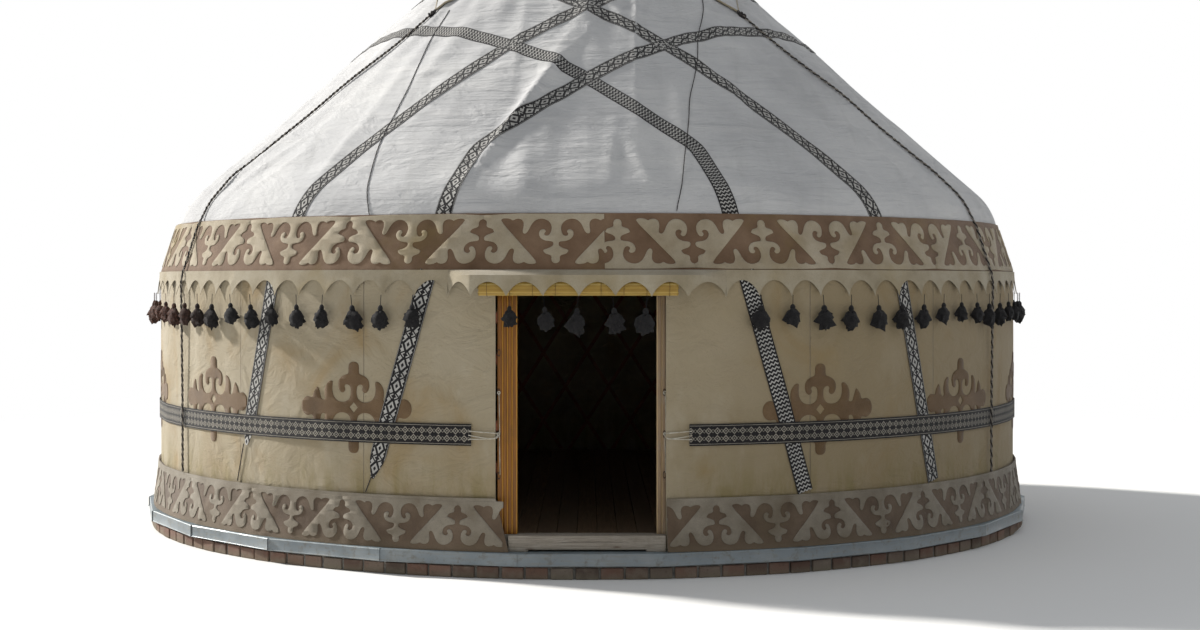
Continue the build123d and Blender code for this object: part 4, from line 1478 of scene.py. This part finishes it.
skirt_face = 2.985
skirt_low_x = 0.425
skirt_left_turn = degrees(asin(cover_left_x / skirt_face))
skirt_low_turn = degrees(asin(skirt_low_x / skirt_face))
for side, half in ((-1, "left"), (1, "right")):
    height = np.linspace(skirt_foot, skirt_head, 15)[:, None]
    share = np.linspace(0, 1, 321)[None, :]
    if side < 0:
        slant = (skirt_head - height) / (skirt_head - skirt_foot)
        stop = -skirt_left_turn + (skirt_left_turn - skirt_low_turn) * slant
        azimuth = -180 + (stop + 180) * share
    else:
        azimuth = door_right + (180 - door_right) * share + 0 * height
    height = height + 0 * azimuth
    piece = cloth(f"skirt_{half}_felt", skirt_points(azimuth, height, 0), 0.008, azimuth * arc, height)
    settled(piece, skirt_brown, 50)
    length = (180 - (skirt_left_turn if side < 0 else door_right)) * arc
    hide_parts(f"skirt_{half}")

    # The cream layer: a hem at the head and the scrolls under it.
    hem_rows = np.linspace(skirt_head - hem_width, skirt_head + 0.001, 3)[:, None]
    hem_height = height[-3:] * 0 + hem_rows
    hem = cloth(
        "hem", skirt_points(azimuth[-3:], hem_height, 0.003), 0.0029, azimuth[-3:] * arc, hem_height
    )
    scrolls = [hem]
    for number in range(skirt_scrolls // 2):
        start = side * skirt_turn * number - (skirt_turn if side < 0 else 0)
        cut = None
        if number == 0:
            limit = -skirt_left_turn + 0.9 if side < 0 else door_right
            cut = trimmed(scroll, scroll_length * (limit - start) / skirt_turn, side < 0)

        def on_skirt(x, y, z):
            room = skirt_head - scroll_head_gap - skirt_foot
            height = skirt_foot + scroll_foot_gap + room * y / frieze_height
            return skirt_points(start + x / scroll_length * skirt_turn, height, 0.002 + z)

        scrolls.append(laid(cut or scroll, on_skirt, "scroll_laid"))
        if cut:
            bpy.data.objects.remove(cut)
    inlay = joined(scrolls, f"skirt_scrolls_{half}")
    worked(inlay, outward_faces)
    settled(inlay, skirt_cream, 50)
    share = enclosed(scroll_outline) / scroll_length / frieze_height
bpy.data.objects.remove(scroll)


# Waist band. A black wool girth woven with two cream rows of hooked links runs round the wall
# over the straps; white cords at each end tie it to the door posts.
def chain_pattern(tree, along, out, half_width, period):
    """1 where the girth is black: two cream rows of hooked links on a black ground."""
    offset = maths(tree, "DIVIDE", out, half_width)
    row = size_of(tree, maths(tree, "SUBTRACT", offset, 0.35))
    row = times(tree, row, 2.4)
    link = plus(tree, every(tree, along, period), row)
    ring = between(tree, link, 0.5, 0.8)
    heart = inside_of(tree, link, 0.22)
    gap = plus(tree, every(tree, along, period, 0.5), row)
    hook = between(tree, gap, 0.34, 0.46)
    edge_line = between(tree, offset, 0.82, 0.87)
    cream = times(tree, either(tree, ring, heart, hook), inside_of(tree, offset, 0.72))
    return maths(tree, "SUBTRACT", 1.0, maths(tree, "MAXIMUM", cream, edge_line))


girth_weave = woven_finish(
    "girth_weave", chain_pattern, 0.06, 0.05, (0.31, 0.285, 0.235), (0.008, 0.007, 0.008)
)
girth_level = 0.78
girth_width = 0.12
girth_lift = 0.0102
girth_face = 2.97
girth_right_x, girth_left_x = 0.565, 0.64
begin = degrees(asin(girth_right_x / girth_face))
end = 360 - degrees(asin(girth_left_x / girth_face))
azimuth, height = np.meshgrid(
    np.linspace(begin, end, 420), np.linspace(-girth_width / 2, girth_width / 2, 6)
)
level = girth_level + height
points = turned_out(azimuth, wall_out(azimuth, level) + girth_lift, level)
girth = cloth("waist_girth", points, 0.003, azimuth * arc, height)
settled(girth, girth_weave, 50)
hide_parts("waist_band")


def strand(name, points, radius, sides=6):
    """A round cord through its points."""
    points = np.array(points, float)
    way = unit(np.gradient(points, axis=0))
    out = unit(np.cross(way, np.where(np.abs(way[:, 2:]) > 0.9, [[1.0, 0, 0]], [[0, 0, 1.0]])))
    other = np.cross(way, out)
    turns = np.linspace(0, 2 * pi, sides, endpoint=False)
    rings = points[:, None] + radius * (
        np.cos(turns)[None, :, None] * out[:, None] + np.sin(turns)[None, :, None] * other[:, None]
    )
    count = len(points)
    order = np.arange(count * sides).reshape(count, sides)
    after = np.roll(order, -1, 1)
    quads = np.stack([order[:-1], after[:-1], after[1:], order[1:]], -1).reshape(-1, 4).tolist()
    mesh = bpy.data.meshes.new(name)
    ends = [order[0, ::-1].tolist(), order[-1].tolist()]
    mesh.from_pydata(rings.reshape(-1, 3).tolist(), [], quads + ends)
    piece = bpy.data.objects.new(name, mesh)
    scene.collection.objects.link(piece)
    return piece


def sagging(stops, sag, count=18):
    """Points of a cord from stop to stop, hanging a little between its ends."""
    stops = np.array(stops, float)
    share = np.linspace(0, 1, count)
    line = np.stack(
        [np.interp(share, np.linspace(0, 1, len(stops)), stops[:, axis]) for axis in range(3)], -1
    )
    line = smoothed(line, 1)
    line[:, 2] -= 4 * sag * share * (1 - share)
    return line


tie_cotton, tree, shader = new_finish("white_cord", 0.9)
where = place_in(tree)
dust = mottle(tree, where, 30, 4)
coloured(tree, shader, tones(tree, dust, (0.35, (0.32, 0.29, 0.22)), (0.65, (0.55, 0.52, 0.45))))
raised(tree, shader, (mottle(tree, place_in(tree, (1, 1, 3)), 300, 2), 0.0008))
left_edge, right_edge = (-0.515, -2.933), (0.447, -2.944)
ties = []
for level, low, sag in ((0.803, 0.79, 0.003), (0.757, 0.78, 0.006), (0.78, 0.772, 0.014)):
    ties.append(strand("tie", sagging(
        ((-0.655, -2.906, level), (*left_edge, (level + low) / 2), (-0.49, -2.908, low)), sag
    ), 0.003))
    ties.append(strand("tie", sagging(
        ((0.58, -2.92, level), (*right_edge, (level + low) / 2), (0.43, -2.91, low)), sag
    ), 0.003))
for x, level, low in (
    (-0.486, 1.012, 0.79), (-0.484, 0.785, 0.56), (0.432, 1.012, 0.79), (0.43, 0.782, 0.57),
):
    ties.append(strand("tie", sagging(((x, -2.907, level), (x + 0.004, -2.906, low)), 0.0), 0.0022))
for x, level in ((-0.49, 0.786), (0.43, 0.787), (-0.487, 1.014), (0.43, 1.014)):
    ties.append(made(
        bpy.ops.mesh.primitive_torus_add, major_segments=14, minor_segments=6, major_radius=0.007,
        minor_radius=0.0034, location=(x, -2.907, level), rotation=(radians(75), radians(20), 0),
    ))
settled(joined(ties, "post_ties"), tie_cotton, 50)


# Reed mat. Yellow steppe reeds stitched side by side into a mat that closes the doorway; it is
# rolled up and held in front of the lintel under the valance.
reed_straw, tree, shader = new_finish("yellow_reed", 0.5)
where = place_in(tree)
shade = add_node(tree, "Attribute", {}, attribute_name="shade")
reeds = tones(
    tree, shade.outputs["Fac"],
    (0.0, (0.27, 0.16, 0.03)), (0.5, (0.42, 0.28, 0.065)), (1.0, (0.52, 0.39, 0.14)),
)
streak = mottle(tree, place_in(tree, (0.6, 14, 14)), 12, 4)
reeds = stained(tree, reeds, streak, (0.5, 0.7), 0.6, (0.3, 0.18, 0.05))
coloured(tree, shader, reeds)
raised(tree, shader, (streak, 0.001))
mat_middle = (-0.048, -2.9816, 1.595)
mat_length = 1.1
reed_radius = 0.0027
reed_step = 0.0052
layer_step = 0.0056
hollow_radius, whole_beyond = 0.012, 0.034
stub_length, stub_out = 0.05, 0.52
reeds_placed = []
angle = 0.0
roll_out = 0.0462
# Only the outer layers are whole reeds; inside them just the ends that show are made.
while roll_out > hollow_radius:
    whole = roll_out > whole_beyond
    length = mat_length * chance.uniform(0.985, 1.0) if whole else stub_length
    for x in ([mat_middle[0]] if whole else [mat_middle[0] - stub_out, mat_middle[0] + stub_out]):
        place = (x, mat_middle[1] + roll_out * cos(angle), mat_middle[2] + roll_out * sin(angle))
        reeds_placed.append(made(
            bpy.ops.mesh.primitive_cylinder_add, vertices=6, radius=reed_radius, depth=length,
            rotation=(0, pi / 2, 0), location=place,
        ))
        give_shade(reeds_placed[-1], chance.uniform(0, 1))
    angle += reed_step / roll_out
    roll_out -= layer_step * reed_step / roll_out / (2 * pi)
mat = joined(reeds_placed, "reed_roll")
settled(mat, reed_straw, 35)
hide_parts("reed_mat")
stitch_wool, tree, shader = new_finish("stitching", 0.9)
fleck = mottle(tree, place_in(tree), 60, 3)
coloured(tree, shader, tones(tree, fleck, (0.4, (0.07, 0.035, 0.02)), (0.6, (0.12, 0.06, 0.035))))
stitch_radius = 0.0487
stitch_gap = 0.125
stitches = []
for number in range(9):
    stitches.append(made(
        bpy.ops.mesh.primitive_torus_add, major_segments=40, minor_segments=6,
        major_radius=stitch_radius, minor_radius=0.0011, rotation=(0, pi / 2, 0),
        location=(mat_middle[0] - 0.5 + stitch_gap * number, *mat_middle[1:]),
    ))
settled(joined(stitches, "mat_stitching"), stitch_wool, 50)


# Crown cover. A square of white felt thrown over the crown against the rain; ropes twisted of
# black and white hair, tied to its four corners, run down over the roof and wall.
cover_half = 1.0
crown_top = 4.263
crown_bow = 0.15
cover_lift = 0.0165
cover_drop = 1.5
hem_radius = 0.0065
side_steps = np.linspace(-cover_half, cover_half, 61)
x, y = np.meshgrid(side_steps, side_steps)
radius = np.hypot(x, y)
azimuth = azimuth_of(x, y)
along = along_at(np.maximum(radius, crown_radius))
on_roof = roof_points(azimuth, along, cover_lift)
on_roof = on_roof[..., 2] + (np.hypot(on_roof[..., 0], on_roof[..., 1]) - radius) * tan(roof_slope)
dome = crown_top - crown_bow * (radius / crown_radius) ** 2 - 0.004 * np.cos(radius * 24)
dropping = crown_top - crown_bow - (radius - crown_radius) * cover_drop
lap = np.where(radius < crown_radius, dome, np.maximum(on_roof, dropping))
cover_ridges = chance_ridges(40, 0.95, (-0.5, 0.5), (0.02, 0.05), (0.1, 0.3), (0.004, 0.013))
fold = ridges_at(azimuth, radius, 0.9, cover_ridges)
lap = lap + fold * np.clip((radius - 0.6) / 0.2, 0, 1)
surface = np.stack([x, y, lap], -1)
top = cloth("crown_cover_felt", surface, 0.010, x, y)
settled(top, roof_canvas, 50)
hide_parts("crown_cover")
hems = []
for border in (surface[0], surface[-1], surface[:, 0], surface[:, -1]):
    hems.append(strand("hem", border - [0, 0, 0.004], hem_radius, 8))
settled(joined(hems, "crown_cover_hem"), valance_cotton, 60)


# Ropes. Two-strand ropes twisted of black and white horsehair, from the cover's corners to the
# foot of the wall, where they go in under the skirt.
rope_turn = 58.125
rope_pitch = 0.062
strand_radius = 0.0046
corner_reach, bend_reach = 1.4, 2.65
rope_levels = (0.44, 0.9, 1.54, 1.69)
rope_lifts = (0.019, 0.02, 0.028, 0.03)
rope_on_roof, over_frieze = 0.0115, 0.014


def hair_finish(name, *stops):
    """Twisted horsehair, speckled by its single hairs."""
    material, tree, shader = new_finish(name, 0.9)
    hair = mottle(tree, place_in(tree), 160, 4, 0.7)
    coloured(tree, shader, tones(tree, hair, *stops))
    raised(tree, shader, (hair, 0.001))
    return material


rope_black = hair_finish("black_hair", (0.4, (0.012, 0.011, 0.012)), (0.7, (0.06, 0.052, 0.05)))
rope_white = hair_finish("white_hair", (0.35, (0.12, 0.105, 0.09)), (0.65, (0.34, 0.31, 0.27)))
ropes = []
for azimuth in (rope_turn, 180 - rope_turn, rope_turn - 180, -rope_turn):
    corner_turn = np.sign(azimuth) * (45 if abs(azimuth) < 90 else 135)
    corner_along, bend_along = along_at(corner_reach), along_at(bend_reach)
    along = np.linspace(corner_along, 0.0, 110)
    bent = np.clip((along - bend_along) / (corner_along - bend_along), 0, 1)
    turning = azimuth + (corner_turn - azimuth) * bent**1.4
    frieze_under = np.clip((frieze_height + 0.02 - along) / 0.04, 0, 1)
    upper = roof_points(turning, along, rope_on_roof + over_frieze * frieze_under)
    height = np.linspace(1.672, skirt_head + 0.006, 50)
    out_to = np.interp(height, rope_levels, rope_lifts)
    lower = turned_out(azimuth, wall_face + 0.006 + out_to, height)
    route = smoothed(np.concatenate([upper, lower]), 4)
    length = run_along(route)
    even = np.linspace(0, length[-1], int(length[-1] / rope_pitch * 9))
    route = np.stack([np.interp(even, length, route[:, axis]) for axis in range(3)], -1)
    way = unit(np.gradient(route, axis=0))
    level_side = np.cross(way, [0, 0, 1.0])
    upright = np.linalg.norm(level_side, axis=1)[:, None] <= 0.02
    sideways = unit(np.where(upright, turned_out(azimuth + 90, 1.0, 0 * even), level_side))
    upward = np.cross(sideways, way)
    phase = 2 * pi * even / rope_pitch
    for shift, hair_kind in ((0, rope_black), (pi, rope_white)):
        turning = np.cos(phase + shift)[:, None] * sideways + np.sin(phase + shift)[:, None] * upward
        piece = strand("strand", route + strand_radius * 0.92 * turning, strand_radius)
        piece.data.materials.append(hair_kind)
        ropes.append(piece)
    # The knot that ties the rope to the corner of the cover.
    for number in range(3):
        knot = made(
            bpy.ops.mesh.primitive_torus_add, major_segments=16, minor_segments=8,
            major_radius=0.014, minor_radius=0.0062, location=route[number * 3 + 1],
            rotation=(radians(60 + 40 * number), radians(30 * number), radians(azimuth)),
        )
        knot.data.materials.append(rope_black)
        ropes.append(knot)
ropes = joined(ropes, "hair_ropes")
lone(ropes)
bpy.ops.object.transform_apply(location=True, rotation=True, scale=True)
bpy.ops.object.shade_smooth_by_angle(angle=radians(60))
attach(ropes, "root")
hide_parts("roof_ropes")


# Seam cords. Thin dark cords are whipped over the joints of the roof canvas, from the frieze
# towards the crown, the same at the back; two more tie the tips of the left wall straps down.
cord_radius = 0.0026
tip_cord_radius = 0.003
tip_cord_lift = 0.007
seams = []
for joint in (
    ((10.1, 2.04), (12.5, 2.34), (16.6, 2.73), (25.1, 3.18), (34.7, 3.47)),
    ((-25.7, 2.01), (-30.1, 2.44), (-32.6, 2.84), (-37.7, 3.2), (-40.0, 3.4)),
):
    turns, levels = np.array(joint).T
    height = np.linspace(levels[0] - 0.02, levels[-1], 150)
    azimuth = smoothed(np.interp(height, levels, turns), 40)
    along = np.interp(height, table_height, table)
    for far in (0, 180):
        whipped = 0.0032 + 0.0014 * np.sin(np.arange(150) * 2.1)
        route = roof_points(azimuth + far, along, whipped)
        seams.append(strand("seam", route, cord_radius))
for begin, end in (((-43.4, 0.665), (-44.6, 0.44)), ((-24.2, 0.525), (-24.9, 0.44))):
    azimuth, height = (np.linspace(begin[axis], end[axis], 12) for axis in (0, 1))
    route = turned_out(azimuth, wall_out(azimuth, height) + tip_cord_lift, height)
    seams.append(strand("seam", route, tip_cord_radius))
settled(joined(seams, "seam_cords"), rope_black, 60)


size = {
    "cad": [list(cad_low), list(cad_high)],
    "visual": [list(corner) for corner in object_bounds()],
}
